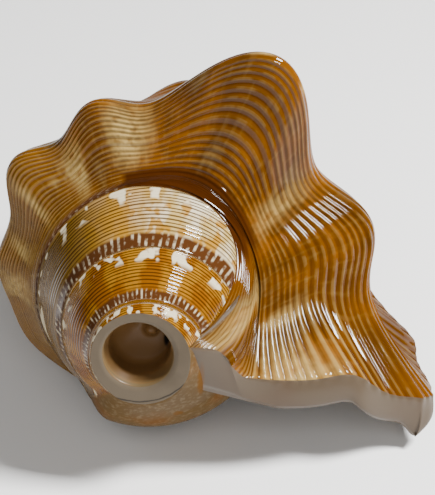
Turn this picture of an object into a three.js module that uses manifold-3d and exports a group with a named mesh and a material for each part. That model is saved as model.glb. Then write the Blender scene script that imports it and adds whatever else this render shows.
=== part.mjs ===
// A polished conch shell whose tip is sawn off to make a mouth ring, lying on its opening.
// The shell is one grown piece. Its surface is worked out in a shell frame: the coiling axis is
// local Z with the apex side up, the sawn ring lies at z = 0, and the back of the shell faces +Y.

import * as THREE from "three";
import Module from "manifold-3d";
import { mergeVertices } from "three/addons/utils/BufferGeometryUtils.js";

// Driving dimensions, in millimetres and degrees

// Spire: a cone that the sutures wind down, each turn larger than the last by TURN_GROWTH.
const RING_CONE_RADIUS = 12.75;
const CONE_FALL = 2.0;
const APEX_HEIGHT = RING_CONE_RADIUS * CONE_FALL;
const TURN_GROWTH = 1.424;
const SUTURE_RADIUS = 27.8;
const SUTURE_RADIUS_TURN = -200;
const WHORL_BULGE = 0.7;
const WHORL_LEAST_SHARE = 0.05;
const WHORL_LEAST = 0.5;
const WHORL_FULL_HEIGHT = 10;
const COVER_START = -236;
const COVER_FULL = -258;
const SUTURE_CLOSING = 2;
const CLOSING_START = -14;
const CLOSING_FULL = -5;

// Crown: next to the ring the cone is drawn in and shifted.
const CROWN_INSET = 1.05;
const CROWN_DEPTH = 10;
const CROWN_SHIFT = [0.6, 0.5];

// Last suture: it leaves the spiral and climbs to the ring where the lip joins the spire.
const CLIMB_START = -118;
const CLIMB_SPAN = 85;
const WING_ROOT_START = -115;
const WING_ROOT_FULL = -70;
const WING_ROOT_Z = -34.4;
const WING_ROOT_SPAN = 110;
const WING_ROOT_CLIMB = 0.85;
const WING_ROOT_EDGE = 0.25;

// Body whorl: shoulder size and height, and the front end where the canal closes.
const SHOULDER_RADIUS = 38.9;
const SHOULDER_GROWTH_OLD = 2.9;
const SHOULDER_GROWTH_NEW = 1.7;
const SHOULDER_TURN = -200;
const SHOULDER_Z = -42;
const SHOULDER_SINK = 4;
const SHOULDER_SINK_SPAN = 150;
const SHOULDER_SINK_END = -50;
const SHOULDER_ROUNDING = 0.1;
const KNOB_LIFT = 0.14;
const RAMP_HOLLOW = 0.06;
const FRONT_RADIUS = 4;
const FRONT_Z = -140;
const FRONT_TIP = 2.5;
const BODY_TAPER = 1.5;

// Wing: the flared lip that ends the growth, at the bearing LIP_BEARING about the axis.
const LIP_BEARING = -18;
const WING_SPAN = 55;
const WING_REACH = 26;
const WING_RISE = 20;
const WING_RISE_SHARPNESS = 3;
const LOBE_SHARPNESS = 6;
const WING_TAPER = 1.6;
const WING_ARCH = 0.03;
const WING_SHARPNESS = 4;
const WING_SIDE_SHARPNESS = 36;
const WING_SIDE_REACH = 0.25;
const WING_SIDE_LOSS = 0.35;
const WING_SIDE_LOSS_END = 0.4;
const NOTCH_ANGLE = 33;
const NOTCH_SLOPE = 12;
const NOTCH_START = 0.09;
const NOTCH_END = 0.15;

// Rim: the bevelled edge of the lip, with a blunt hook at the wing's tip and a web at its root
// that joins it to the callus.
const LIP_THICKNESS = 5.6;
const LIP_THIN_START = 0.02;
const LIP_THIN_END = 0.3;
const LIP_LEAST_SHARE = 0.04;
const LIP_BEVEL = 5;
const RIM_TURN = -1.5;
const LIP_ROUNDNESS = 1.5;
const EDGE_BEVEL_LOSS = 0.55;
const EDGE_LOSS_START = 0.95;
const EDGE_LOSS_END = 1.08;
const TIP_HOOK = 4.5;
const TIP_PLACE = 0.9;
const TIP_WIDTH = 0.06;
const WEB_ROW = 0.3;
const WEB_BLEND = 0.1;
const WEB_TURN = 52;
const WEB_TOP = -0.66;
const WEB_FOOT = -0.41;
const WEB_FAN = 0.12;
const WEB_SUNK = 0.6;
const LIP_SHOULDER_LOSS = 0.35;
const LIP_SHOULDER_WIDTH = 0.1;
const LIP_SOFT_WIDTH = 0.16;

// Throat: the hollow behind the lip, with a wall that thins inward and ends inside the shell.
const WALL_THICKNESS = 3.2;
const WALL_THIN_TURN = -70;
const THROAT_TURNS = 1.05;
const THROAT_START = -4;
const THROAT_CROWDING = 1.3;
const THROAT_INSIDE = -60;
const THROAT_LOWEST = [0.25, 0.42];
const THROAT_KEPT = [0.45, 0.65];
const THROAT_MEETING = [0.9, 0.5];
const THROAT_FRONT = 1.8;
const THROAT_FRONT_END = 1.9;
const INNER_SPAN = 0.3;
const INNER_CLIMB = 1.13;
const INNER_CLIMB_START = -2;
const INNER_CLIMB_END = -27;
const INNER_CLIMB_POWER = 0.6;
const INNER_RISE = 0.35;
const INNER_RISE_END = -120;
const LEAD_SPAN = 0.15;
const LEAD_END = -12;
const THROAT_SUNK = 0.3;

// Callus: the smooth inner lip laid over the spire and body beside the opening.
const CALLUS_TOP_RADIUS = 9.5;
const CALLUS_SPREAD = 25.5;
const CALLUS_DEPTH = 14;
const CALLUS_HIGH_Z = 3;
const CALLUS_FADE_Z = -34;
const CALLUS_LOW_Z = -46;
const CALLUS_EDGE = -243;
const CALLUS_FULL = -268;
const CALLUS_THIN_START = -338;
const CALLUS_THIN_END = -378;
const CALLUS_THIN_SHARE = 0.75;
const CALLUS_BLEND = 2.2;

// Mouth: a cup reamed into the sawn ring, with a ledge under the ring and a bowl-shaped floor that
// falls once around the stump of the axis and steps back up.
const HOLE_CENTRE = [0.1, 1.5];
const HOLE_RADIUS = 8.25;
const LEDGE_DEPTH = 3.1;
const LEDGE_WIDTH = 0.7;
const FLOOR_RADIUS = 7;
const FLOOR_DEPTH = 5.5;
const FLOOR_DROP = 8;
const FLOOR_MIDDLE = 12;
const STEP_BEARING = 50;
const STEP_SPAN = 20;
const STUMP_CENTRE = [2.4, 3];
const STUMP_RADIUS = 1.6;
const STUMP_HEIGHT = 2.2;

// Knobs, each with the growth angle of its middle, its height and its half width in degrees.
const SHOULDER_KNOBS = [
  { turn: -222, height: 0.8, width: 12 },
  { turn: -190, height: 2, width: 10 },
  { turn: -155, height: 8, width: 11 },
  { turn: -125, height: 8.5, width: 12 },
  { turn: -81, height: 25, width: 19 },
  { turn: -35, height: 10.5, width: 14 },
];
const LOWER_KNOBS = [
  { turn: -150, height: 2.5, width: 12 },
  { turn: -98, height: 7.5, width: 16 },
  { turn: -45, height: 4, width: 14 },
];
const LOWER_ROW = 0.34;
const LOWER_ROW_WIDTH = 0.12;
const KNOB_SIDE_WIDTH = 0.2;
const KNOB_RAMP_POWER = 1.3;

// Lobe of the wing's edge and the dip before it: place on the side, height and half width.
const LOBES = [
  { place: 0.3, height: 4, width: 0.09 },
  { place: 0.15, height: -2.4, width: 0.07 },
];

// Folds across the wing: place between suture and shoulder, height along the growth, half width.
const WING_FOLDS = [
  { place: 0.58, height: 5.5, width: 0.14 },
  { place: 0.9, height: 1, width: 0.12 },
  { place: 0.38, height: 1.2, width: 0.12 },
];

// Rest: how the shell leans when it lies on its opening, and how far its low points are worn flat.
const REST_PITCH = -11.1;
const REST_ROLL = -1.65;
const WORN_FLAT = 0.4;

// Facets
const COLUMNS = 72;
const SPIRE_ROWS = 6;
const RAMP_ROWS = 11;
const BODY_ROWS = 13;
const RIM_LOOPS = 3;
const THROAT_LOOPS = 18;
const CUP_FACETS = 32;
const LIP_CROWDING = 0.4;

const AXIS_TOP = 6;
const TURN_NUDGE = 0.8;
const PLACE_NUDGE = 0.003;
const SAW_REACH = 400;
const DEGREES = Math.PI / 180;
const FULL_TURN = 360;

const clamp = THREE.MathUtils.clamp;
const lerp = THREE.MathUtils.lerp;
const bump = (x, middle, width) => Math.exp(-(((x - middle) / width) ** 2));

// A smooth step from 0 at start to 1 at end, where end may be the smaller.
function ease(start, end, x) {
  const t = clamp((x - start) / (end - start), 0, 1);
  return t * t * (3 - 2 * t);
}

// Height on the cone of the suture's plain spiral, which closes up toward the ring.
function spiralZ(turn) {
  const radius = SUTURE_RADIUS * TURN_GROWTH ** ((turn - SUTURE_RADIUS_TURN) / FULL_TURN);
  const height = CONE_FALL * (RING_CONE_RADIUS - radius);
  return height + SUTURE_CLOSING * ease(CLOSING_START, CLOSING_FULL, height);
}

// Height of the suture at a growth angle, with the climb of the last stretch.
function sutureZ(turn) {
  const climb = clamp((turn - CLIMB_START) / CLIMB_SPAN, 0, 1);
  return spiralZ(Math.min(turn, CLIMB_START)) * Math.sqrt(1 - climb ** 4);
}

const coneRadius = (z) => RING_CONE_RADIUS - z / CONE_FALL;

// Sum of a row of knobs at a growth angle.
function knobHeight(knobs, turn) {
  return knobs.reduce((sum, knob) => sum + knob.height * bump(turn, knob.turn, knob.width), 0);
}

// How far the lip margin draws back toward the spire.
function notch(along) {
  const drawn = NOTCH_ANGLE - NOTCH_SLOPE * clamp(along / NOTCH_START, 0, 1);
  return drawn * (1 - ease(NOTCH_START, NOTCH_END, along));
}

// Spire: three whorls between the top of the axis and the last suture, each slightly bulged where
// the callus leaves it bare.
function spirePoint(turn, along, lastZ) {
  const share = 3 * (along + 1);
  const whorl = clamp(Math.floor(share), 0, 2);
  const edges = [AXIS_TOP, 0, 0, lastZ];
  for (const index of [2, 1]) {
    const least = lerp(lastZ, AXIS_TOP, WHORL_LEAST_SHARE * (3 - index));
    const most = AXIS_TOP - WHORL_LEAST * index;
    edges[index] = clamp(sutureZ(turn - FULL_TURN * (3 - index)), least, most);
  }
  const t = share - whorl;
  const z = lerp(edges[whorl], edges[whorl + 1], t);
  const span = Math.min(1, (edges[whorl] - edges[whorl + 1]) / WHORL_FULL_HEIGHT);
  const bare = 1 - ease(COVER_START, COVER_FULL, turn);
  return { r: coneRadius(z) + WHORL_BULGE * span * bare * Math.sin(Math.PI * t), z };
}

// Ramp: from the last suture out to the shoulder, hollow at first and arched on the wing, whose
// root climbs more gently than the suture beside it.
function rampPoint(turn, along, shoulder, lastZ) {
  const climb = clamp((turn + WING_ROOT_SPAN) / WING_ROOT_SPAN, 0, 1);
  const rootZ = WING_ROOT_Z * (1 - WING_ROOT_CLIMB * climb ** 2);
  const rootShare = ease(0, WING_ROOT_EDGE, along) * ease(WING_ROOT_START, WING_ROOT_FULL, turn);
  const startZ = lerp(lastZ, rootZ, rootShare);
  const startR = coneRadius(startZ);
  const reach = shoulder.r - startR;
  const fall = startZ - shoulder.z;
  const arch = lerp(-RAMP_HOLLOW, WING_ARCH, shoulder.wing) * Math.sin(Math.PI * along) ** 2;
  const knob = shoulder.knob * Math.sin(Math.PI / 2 * along ** KNOB_RAMP_POWER) ** 2;
  return {
    r: startR + reach * along + arch * fall + knob,
    z: startZ - fall * along + arch * reach + KNOB_LIFT * knob,
  };
}

// Side: from the shoulder down to the front end, with the second row of knobs and the wing lobe.
function sidePoint(turn, share, shoulder) {
  const { wing } = shoulder;
  const taper = BODY_TAPER + WING_TAPER * wing ** WING_SHARPNESS;
  const sharpness = WING_SHARPNESS + WING_SIDE_SHARPNESS * Math.min(share, WING_SIDE_REACH);
  const loss = WING_SIDE_LOSS * ease(0, WING_SIDE_LOSS_END, share);
  const flare = WING_REACH * wing ** sharpness * (1 - loss);
  const full = shoulder.bare + flare - FRONT_RADIUS;
  const lobe = wing ** LOBE_SHARPNESS * LOBES.reduce((sum, { place, height, width }) => (
    sum + height * bump(share, place, width)), 0);
  const knob = shoulder.knob * bump(share, 0, KNOB_SIDE_WIDTH);
  const lowKnob = knobHeight(LOWER_KNOBS, turn) * bump(share, LOWER_ROW, LOWER_ROW_WIDTH);
  return {
    r: FRONT_RADIUS + full * (1 - share ** taper) + lobe + knob + lowKnob,
    z: lerp(shoulder.z, FRONT_Z, share) + KNOB_LIFT * knob,
  };
}

// Shoulder of the body whorl at a growth angle.
function shoulderAt(turn) {
  const wing = clamp((turn + WING_SPAN) / WING_SPAN, 0, 1);
  const growth = turn < SHOULDER_TURN ? SHOULDER_GROWTH_OLD : SHOULDER_GROWTH_NEW;
  const bare = SHOULDER_RADIUS * growth ** ((turn - SHOULDER_TURN) / FULL_TURN);
  const sunk = (Math.min(turn, SHOULDER_SINK_END) - SHOULDER_TURN) / SHOULDER_SINK_SPAN;
  return {
    wing,
    bare,
    r: bare + WING_REACH * wing ** WING_SHARPNESS,
    z: SHOULDER_Z - SHOULDER_SINK * sunk + WING_RISE * wing ** WING_RISE_SHARPNESS,
    knob: knobHeight(SHOULDER_KNOBS, turn),
  };
}

// Extra radius of the callus at a growth angle, over a surface of the given radius and height.
function callusRise(turn, r, z) {
  if (z > CALLUS_HIGH_Z) {
    return 0;
  }
  const callus = CALLUS_TOP_RADIUS + CALLUS_SPREAD * (1 - Math.exp(Math.min(z, 0) / CALLUS_DEPTH));
  const over = Math.log1p(Math.exp((callus - r) / CALLUS_BLEND));
  const thin = 1 - CALLUS_THIN_SHARE * ease(CALLUS_THIN_START, CALLUS_THIN_END, turn);
  const share = ease(CALLUS_EDGE, CALLUS_FULL, turn) * ease(CALLUS_LOW_Z, CALLUS_FADE_Z, z) * thin;
  return CALLUS_BLEND * over * share;
}

// Radius and height of the bare profile at a growth angle of the last whole turn.
function profilePoint(turn, along) {
  const shoulder = shoulderAt(turn);
  const sutureTurn = turn - NOTCH_ANGLE;
  const lastZ = sutureZ(sutureTurn);
  if (along < 0) {
    return spirePoint(sutureTurn, along, lastZ);
  }
  return along <= 1 ? rampPoint(turn, along, shoulder, lastZ) : sidePoint(turn, along - 1, shoulder);
}

// The profile with its shoulder rounded, as a mean of three points spread most at the shoulder.
function roundedPoint(turn, along) {
  const middle = profilePoint(turn, along);
  if (along <= 0) {
    return middle;
  }
  const spread = SHOULDER_ROUNDING * bump(along, 1, 0.3) * Math.min(1, 2 - along);
  const above = profilePoint(turn, Math.max(along - spread, 0));
  const below = profilePoint(turn, Math.min(along + spread, 2));
  return { r: (2 * middle.r + above.r + below.r) / 4, z: (2 * middle.z + above.z + below.z) / 4 };
}

// A point of the outer surface. The growth angle runs up to 0 at the lip. along is -1 to 0 on
// the spire, 0 to 1 on the ramp and 1 to 2 on the side. Angles before the last whole turn
// repeat it, shrunk toward the cone's apex.
function surfacePoint(turn, along) {
  const wholeTurn = Math.max(turn, -FULL_TURN);
  const shrink = TURN_GROWTH ** ((turn - wholeTurn) / FULL_TURN);
  const point = roundedPoint(wholeTurn, along);
  const grown = (point.r + callusRise(turn - notch(along), point.r, point.z)) * shrink;
  const z = APEX_HEIGHT + (point.z - APEX_HEIGHT) * shrink;
  const wing = clamp((turn + WING_SPAN) / WING_SPAN, 0, 1);
  let fold = 0;
  for (const { place, height, width } of WING_FOLDS) {
    fold += height * bump(along, place, width) * wing ** 2;
  }
  const bearing = (LIP_BEARING - turn + notch(along)) * DEGREES + fold / grown;
  const crown = ease(-CROWN_DEPTH, 0, z);
  const r = grown - CROWN_INSET * crown;
  const x = r * Math.cos(bearing) + CROWN_SHIFT[0] * crown;
  const y = r * Math.sin(bearing) + CROWN_SHIFT[1] * crown;
  return new THREE.Vector3(x, y, z);
}

// Outward normal and growth direction of the surface, from neighbouring points.
function surfaceFrame(turn, along) {
  const after = surfacePoint(turn + TURN_NUDGE, along);
  const below = surfacePoint(turn, along + PLACE_NUDGE);
  const growth = after.sub(surfacePoint(turn - TURN_NUDGE, along)).normalize();
  const down = below.sub(surfacePoint(turn, along - PLACE_NUDGE)).normalize();
  return { normal: growth.clone().cross(down).normalize(), growth };
}

// Values of along for the rows from the top of the axis to the front end.
function rowPlaces() {
  const places = [];
  for (let row = 0; row < SPIRE_ROWS; row += 1) {
    places.push(-1 + row / SPIRE_ROWS);
  }
  for (let row = 0; row < RAMP_ROWS; row += 1) {
    places.push(row / RAMP_ROWS);
  }
  for (let row = 0; row <= BODY_ROWS; row += 1) {
    places.push(1 + row / BODY_ROWS);
  }
  return places;
}

// Growth angles of the columns, closer together toward the lip.
function columnTurns() {
  return Array.from({ length: COLUMNS + 1 }, (_, column) => {
    const share = column / COLUMNS;
    return FULL_TURN * (share * (1 + LIP_CROWDING * (1 - share)) - 1);
  });
}

// One loop of the opening: down the lip side and back up the inner-lip side. The two sides meet at
// the spire end, on the lip side where share is 0, and half way between them at the front end.
function openingLoop(lip, inner, share) {
  const last = lip.length - 1;
  const ends = [lip[0].clone().lerp(inner[0], share), lip[last].clone().lerp(inner[last], 0.5)];
  return [ends[0], ...lip.slice(1, last), ends[1], ...inner.slice(1, last).reverse()];
}

// Lip thickness at a place along the profile, thinner at the shoulder and where the lip nears the
// spire.
function lipShare(along) {
  const grown = Math.max(LIP_LEAST_SHARE, ease(LIP_THIN_START, LIP_THIN_END, along));
  return grown * (1 - LIP_SHOULDER_LOSS * bump(along, 1, LIP_SHOULDER_WIDTH));
}

// Rows of the inside of the lip, rounded near the shoulder: each point there becomes the mean of
// itself and its neighbours.
function softened(points, places) {
  return points.map((point, index) => {
    const before = points[Math.max(index - 1, 0)];
    const after = points[Math.min(index + 1, points.length - 1)];
    const mean = point.clone().add(before).add(after).divideScalar(3);
    return point.clone().lerp(mean, bump(places[index], 1, LIP_SOFT_WIDTH));
  });
}

// Places of the rows in the throat: rows above kept draw together down to lowest, and rows near
// the front end stop short of it.
function throatPlace(along, lowest, kept) {
  if (along < kept) {
    return lerp(lowest, kept, (along + 1) / (kept + 1));
  }
  const share = (along - THROAT_FRONT) / (2 - THROAT_FRONT);
  return along > THROAT_FRONT ? lerp(THROAT_FRONT, THROAT_FRONT_END, share) : along;
}

// Rows of the inner-lip side at a growth angle, on the whorl that the lip meets. They start at the
// place start, drawn round the callus by lead degrees and sunk a little under it.
function innerPoints(places, turn, start, lead, sunk) {
  return places.map((along) => {
    const place = throatPlace(along, start, start + INNER_SPAN);
    const drawn = 1 - ease(start, start + LEAD_SPAN, place);
    const point = surfacePoint(turn - FULL_TURN + lead * drawn, place);
    const inward = 1 - sunk * drawn / Math.hypot(point.x, point.y);
    return new THREE.Vector3(point.x * inward, point.y * inward, point.z);
  });
}

// A point of the lip's bevelled rim, from the margin at share 0 to the throat at share 1.
function rimPoint(share, along) {
  const { normal, growth } = surfaceFrame(RIM_TURN, along);
  const spread = 1 - (1 - share) ** LIP_ROUNDNESS;
  const bevel = LIP_BEVEL * (1 - EDGE_BEVEL_LOSS * ease(EDGE_LOSS_START, EDGE_LOSS_END, along));
  const bearing = LIP_BEARING * DEGREES;
  const ahead = new THREE.Vector3(Math.sin(bearing), -Math.cos(bearing), 0);
  return surfacePoint(0, along)
    .addScaledVector(normal, -LIP_THICKNESS * share * lipShare(along))
    .addScaledVector(growth, bevel * spread)
    .addScaledVector(ahead, TIP_HOOK * bump(along, TIP_PLACE, TIP_WIDTH) * spread);
}

// A loop of the rim at a share of its depth. Its root is a web, ruled from the lip margin to a
// straight foot that runs from the callus to the rim.
function rimLoop(places, share) {
  const start = lerp(WEB_TOP, WEB_FOOT, share);
  const turn = INNER_CLIMB_START * share;
  const inner = innerPoints(places, turn, start, WEB_TURN * share - turn, WEB_SUNK * share);
  const foot = surfacePoint(WEB_TURN - FULL_TURN, WEB_FOOT);
  const corner = rimPoint(1, WEB_ROW);
  const top = surfacePoint(0, -1).lerp(foot, share);
  const lip = places.map((along) => {
    const fan = along < 0 ? WEB_FAN * (along + 1) : lerp(WEB_FAN, 1, along / WEB_ROW);
    const t = clamp(fan, 0, 1);
    const web = surfacePoint(0, along).lerp(foot.clone().lerp(corner, t), share);
    web.addScaledVector(inner[0].clone().sub(top), (1 - t) ** 2);
    const rim = rimPoint(share, throatPlace(Math.max(along, WEB_ROW), 0, 0));
    return web.lerp(rim, ease(WEB_ROW - WEB_BLEND, WEB_ROW + WEB_BLEND, along));
  });
  return openingLoop(lip, inner, 1);
}

// A loop of the throat at a growth angle behind the lip.
function throatLoop(places, turn) {
  const inside = ease(INNER_CLIMB_START, THROAT_INSIDE, turn);
  const wall = lerp(LIP_THICKNESS, WALL_THICKNESS, ease(0, WALL_THIN_TURN, turn));
  const shrink = TURN_GROWTH ** (Math.min(0, turn + FULL_TURN) / FULL_TURN);
  const lip = softened(places.map((along) => {
    const place = throatPlace(along, lerp(...THROAT_LOWEST, inside), lerp(...THROAT_KEPT, inside));
    const { normal } = surfaceFrame(turn, place);
    return surfacePoint(turn, place).addScaledVector(normal, -wall * shrink * lipShare(place));
  }), places);
  const climb = clamp((turn - INNER_CLIMB_START) / (INNER_CLIMB_END - INNER_CLIMB_START), 0, 1);
  const rise = INNER_RISE * ease(INNER_CLIMB_END, INNER_RISE_END, turn);
  const start = WEB_FOOT + INNER_CLIMB * climb ** INNER_CLIMB_POWER + rise;
  const drawn = 1 - ease(INNER_CLIMB_START, LEAD_END, turn);
  const lead = (WEB_TURN - INNER_CLIMB_START) * drawn;
  const inner = innerPoints(places, turn, start, lead, THROAT_SUNK * drawn);
  return openingLoop(lip, inner, lerp(...THROAT_MEETING, inside));
}

// Loops from the lip margin over the rim and back into the throat.
function openingLoops(places) {
  const margin = openingLoop(places.map((along) => surfacePoint(0, along)),
    places.map((along) => surfacePoint(-FULL_TURN, along)), 0);
  const loops = [margin];
  for (let step = 1; step <= RIM_LOOPS; step += 1) {
    loops.push(rimLoop(places, step / RIM_LOOPS));
  }
  for (let step = 0; step <= THROAT_LOOPS; step += 1) {
    const depth = (step / THROAT_LOOPS) ** THROAT_CROWDING;
    loops.push(throatLoop(places, THROAT_START - FULL_TURN * THROAT_TURNS * depth));
  }
  return loops;
}

// Triangles gathered by position, to be merged into a closed geometry.
class Facets {
  constructor() {
    this.coordinates = [];
  }

  triangle(a, b, c) {
    for (const corner of [a, b, c]) {
      this.coordinates.push(corner.x, corner.y, corner.z);
    }
  }

  quad(a, b, c, d) {
    this.triangle(a, b, c);
    this.triangle(a, c, d);
  }

  geometry() {
    const shape = new THREE.BufferGeometry();
    shape.setAttribute("position", new THREE.Float32BufferAttribute(this.coordinates, 3));
    return mergeVertices(shape, 1e-4);
  }
}

// The closed shell before it is sawn: outer surface, bevelled lip, throat and both axis ends.
function shellGeometry() {
  const facets = new Facets();
  const places = rowPlaces();
  const columns = columnTurns().map((turn) => places.map((along) => surfacePoint(turn, along)));
  const last = places.length - 1;
  const top = new THREE.Vector3(0, 0, AXIS_TOP);
  const tip = new THREE.Vector3(0, 0, FRONT_Z - FRONT_TIP);
  for (let column = 0; column < COLUMNS; column += 1) {
    const near = columns[column];
    const far = columns[column + 1];
    for (let row = 0; row < last; row += 1) {
      facets.quad(near[row], far[row], far[row + 1], near[row + 1]);
    }
    facets.triangle(top, far[0], near[0]);
    facets.triangle(tip, near[last], far[last]);
  }
  const loops = openingLoops(places);
  const size = loops[0].length;
  for (let index = 0; index + 1 < loops.length; index += 1) {
    for (let corner = 0; corner < size; corner += 1) {
      const next = (corner + 1) % size;
      facets.quad(loops[index][corner], loops[index + 1][corner],
        loops[index + 1][next], loops[index][next]);
    }
  }
  const end = loops[loops.length - 1];
  const middle = end.reduce((sum, point) => sum.add(point), new THREE.Vector3());
  middle.divideScalar(size);
  for (let corner = 0; corner < size; corner += 1) {
    facets.triangle(middle, end[(corner + 1) % size], end[corner]);
  }
  return facets.geometry();
}

// Rows of the mouth cup at a bearing, from over the ring inward to the stump. Each has the share of
// the way from the stump's middle to the hole's middle, a radius and a height.
function cupRows(bearing) {
  const around = ((bearing - STEP_BEARING) % FULL_TURN + FULL_TURN) % FULL_TURN;
  const run = FULL_TURN - STEP_SPAN;
  const wallZ = -FLOOR_DEPTH - FLOOR_DROP * around / run * (1 - ease(run, FULL_TURN, around));
  const rows = [
    [1, HOLE_RADIUS, AXIS_TOP * 2],
    [1, HOLE_RADIUS, -LEDGE_DEPTH],
    [1, HOLE_RADIUS - LEDGE_WIDTH, -LEDGE_DEPTH - 0.3],
    [1, FLOOR_RADIUS, wallZ],
  ];
  for (const share of [0.75, 0.5, 0.25]) {
    rows.push([share, lerp(STUMP_RADIUS, FLOOR_RADIUS, share), lerp(-FLOOR_MIDDLE, wallZ, share ** 2)]);
  }
  rows.push([0, STUMP_RADIUS, -FLOOR_MIDDLE + STUMP_HEIGHT / 2]);
  return rows;
}

// The mouth cup as a closed cutter.
function cupGeometry() {
  const facets = new Facets();
  const ring = Array.from({ length: CUP_FACETS }, (_, index) => {
    const bearing = FULL_TURN * index / CUP_FACETS;
    return cupRows(bearing).map(([share, r, z]) => new THREE.Vector3(
      lerp(STUMP_CENTRE[0], HOLE_CENTRE[0], share) + r * Math.cos(bearing * DEGREES),
      lerp(STUMP_CENTRE[1], HOLE_CENTRE[1], share) + r * Math.sin(bearing * DEGREES),
      z,
    ));
  });
  const lid = new THREE.Vector3(...HOLE_CENTRE, AXIS_TOP * 2);
  const stump = new THREE.Vector3(...STUMP_CENTRE, -FLOOR_MIDDLE + STUMP_HEIGHT);
  ring.forEach((near, index) => {
    const far = ring[(index + 1) % CUP_FACETS];
    const last = near.length - 1;
    facets.triangle(lid, near[0], far[0]);
    for (let row = 0; row < last; row += 1) {
      facets.quad(near[row], near[row + 1], far[row + 1], far[row]);
    }
    facets.triangle(stump, far[last], near[last]);
  });
  return facets.geometry();
}

// A box with its lowest corner and size given, as a closed geometry of shared vertices.
function boxGeometry(corner, size) {
  const box = new THREE.BoxGeometry(...size);
  box.translate(...corner.map((low, axis) => low + size[axis] / 2));
  box.deleteAttribute("normal");
  box.deleteAttribute("uv");
  return mergeVertices(box, 1e-4);
}

const wasm = await Module();
wasm.setup();

function solid(geometry) {
  return new wasm.Manifold(new wasm.Mesh({
    numProp: 3,
    vertProperties: new Float32Array(geometry.attributes.position.array),
    triVerts: new Uint32Array(geometry.index.array),
  }));
}

function geometryOf(body) {
  const mesh = body.getMesh();
  const shape = new THREE.BufferGeometry();
  shape.setAttribute("position", new THREE.BufferAttribute(mesh.vertProperties, 3));
  shape.setIndex(new THREE.BufferAttribute(mesh.triVerts, 1));
  return shape;
}

// Turn the shell frame so that its back is up and its mouth faces -Y, leaning as it rests.
function restMatrix() {
  const lean = new THREE.Euler((90 + REST_PITCH) * DEGREES, REST_ROLL * DEGREES, 0, "YXZ");
  return new THREE.Matrix4().makeRotationFromEuler(lean);
}

// Saw off the tip, ream the cup, lay the shell down and wear its low points flat.
function restingShell() {
  const side = SAW_REACH / 2;
  const cube = [SAW_REACH, SAW_REACH, SAW_REACH];
  const saw = boxGeometry([-side, -side, 0], cube);
  const sawn = solid(shellGeometry()).subtract(solid(saw)).subtract(solid(cupGeometry()));
  const shape = geometryOf(sawn);
  shape.applyMatrix4(restMatrix());
  shape.computeBoundingBox();
  const { min, max } = shape.boundingBox;
  const floorZ = min.z + WORN_FLAT;
  shape.translate(-(min.x + max.x) / 2, -(min.y + max.y) / 2, -floorZ);
  const floor = boxGeometry([-side, -side, -SAW_REACH], cube);
  return geometryOf(solid(shape).subtract(solid(floor)));
}

const shell = new THREE.Mesh(
  restingShell(),
  new THREE.MeshStandardMaterial({ color: 0x9a6a35, roughness: 0.25, metalness: 0 }),
);
shell.name = "shell";

const conch = new THREE.Group();
conch.add(shell);

export default conch;
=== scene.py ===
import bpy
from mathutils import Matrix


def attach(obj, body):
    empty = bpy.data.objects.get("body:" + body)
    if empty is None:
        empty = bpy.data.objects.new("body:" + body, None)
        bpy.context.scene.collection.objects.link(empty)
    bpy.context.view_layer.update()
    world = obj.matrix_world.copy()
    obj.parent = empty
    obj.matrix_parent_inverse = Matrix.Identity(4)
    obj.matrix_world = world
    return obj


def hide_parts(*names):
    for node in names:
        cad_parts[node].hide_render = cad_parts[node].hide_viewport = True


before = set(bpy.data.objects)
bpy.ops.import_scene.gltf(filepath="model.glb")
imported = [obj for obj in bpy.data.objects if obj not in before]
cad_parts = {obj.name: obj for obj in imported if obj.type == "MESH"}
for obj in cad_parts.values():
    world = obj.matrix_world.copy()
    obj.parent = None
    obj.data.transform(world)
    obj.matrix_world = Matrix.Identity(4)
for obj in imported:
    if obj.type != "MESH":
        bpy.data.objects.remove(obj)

"""A polished conch shell with its tip sawn off to make a mouth ring, lying on its opening."""

import logging
import math
from dataclasses import dataclass, field
from enum import Enum
from typing import Union

import bpy
import numpy as np
from mathutils import Matrix, Vector

LOG = logging.getLogger("conch")
FULL_TURN = 360.0
CIRCLE = 2.0 * math.pi
MILLIMETRE = 0.001
Span = tuple[float, float]
Point = tuple[float, float, float]
Colour = tuple[float, float, float]


def clamp(x: np.ndarray, low: float, high: float) -> np.ndarray:
    """Keep x between low and high."""
    return np.minimum(np.maximum(x, low), high)


def lerp(a: np.ndarray, b: np.ndarray, share: np.ndarray) -> np.ndarray:
    """Straight blend from a at share 0 to b at share 1."""
    return a + (b - a) * share


def ease(start: float, end: float, x: np.ndarray) -> np.ndarray:
    """Smooth step from 0 at start to 1 at end, where end may be the smaller."""
    t = clamp((x - start) / (end - start), 0.0, 1.0)
    return t * t * (3.0 - 2.0 * t)


def bump(x: np.ndarray, middle: float, width: float) -> np.ndarray:
    """Bell curve of height 1 about middle."""
    return np.exp(-(((x - middle) / width) ** 2))


@dataclass(frozen=True)
class Knob:
    """A knob of the shell: growth angle of its middle, height in mm and half width in degrees."""

    turn: float
    height: float
    width: float


@dataclass(frozen=True)
class Wave:
    """A slow wave of the cords, in bands: its height, waves per turn and per band, and start in radians."""

    height: float
    per_turn: float
    per_band: float
    start: float = 0.0


@dataclass(frozen=True)
class Fold:
    """A fold across the wing: its place on the ramp, height along the growth in mm, half width."""

    place: float
    height: float
    width: float


def knob_row(knobs: tuple[Knob, ...], turn: np.ndarray) -> np.ndarray:
    """Height of a row of knobs at a growth angle.

    Args:
        knobs: the knobs of the row.
        turn: growth angle in degrees.

    Returns:
        The sum of the bell-shaped knobs, in mm.
    """
    return sum(knob.height * bump(turn, knob.turn, knob.width) for knob in knobs)


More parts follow.
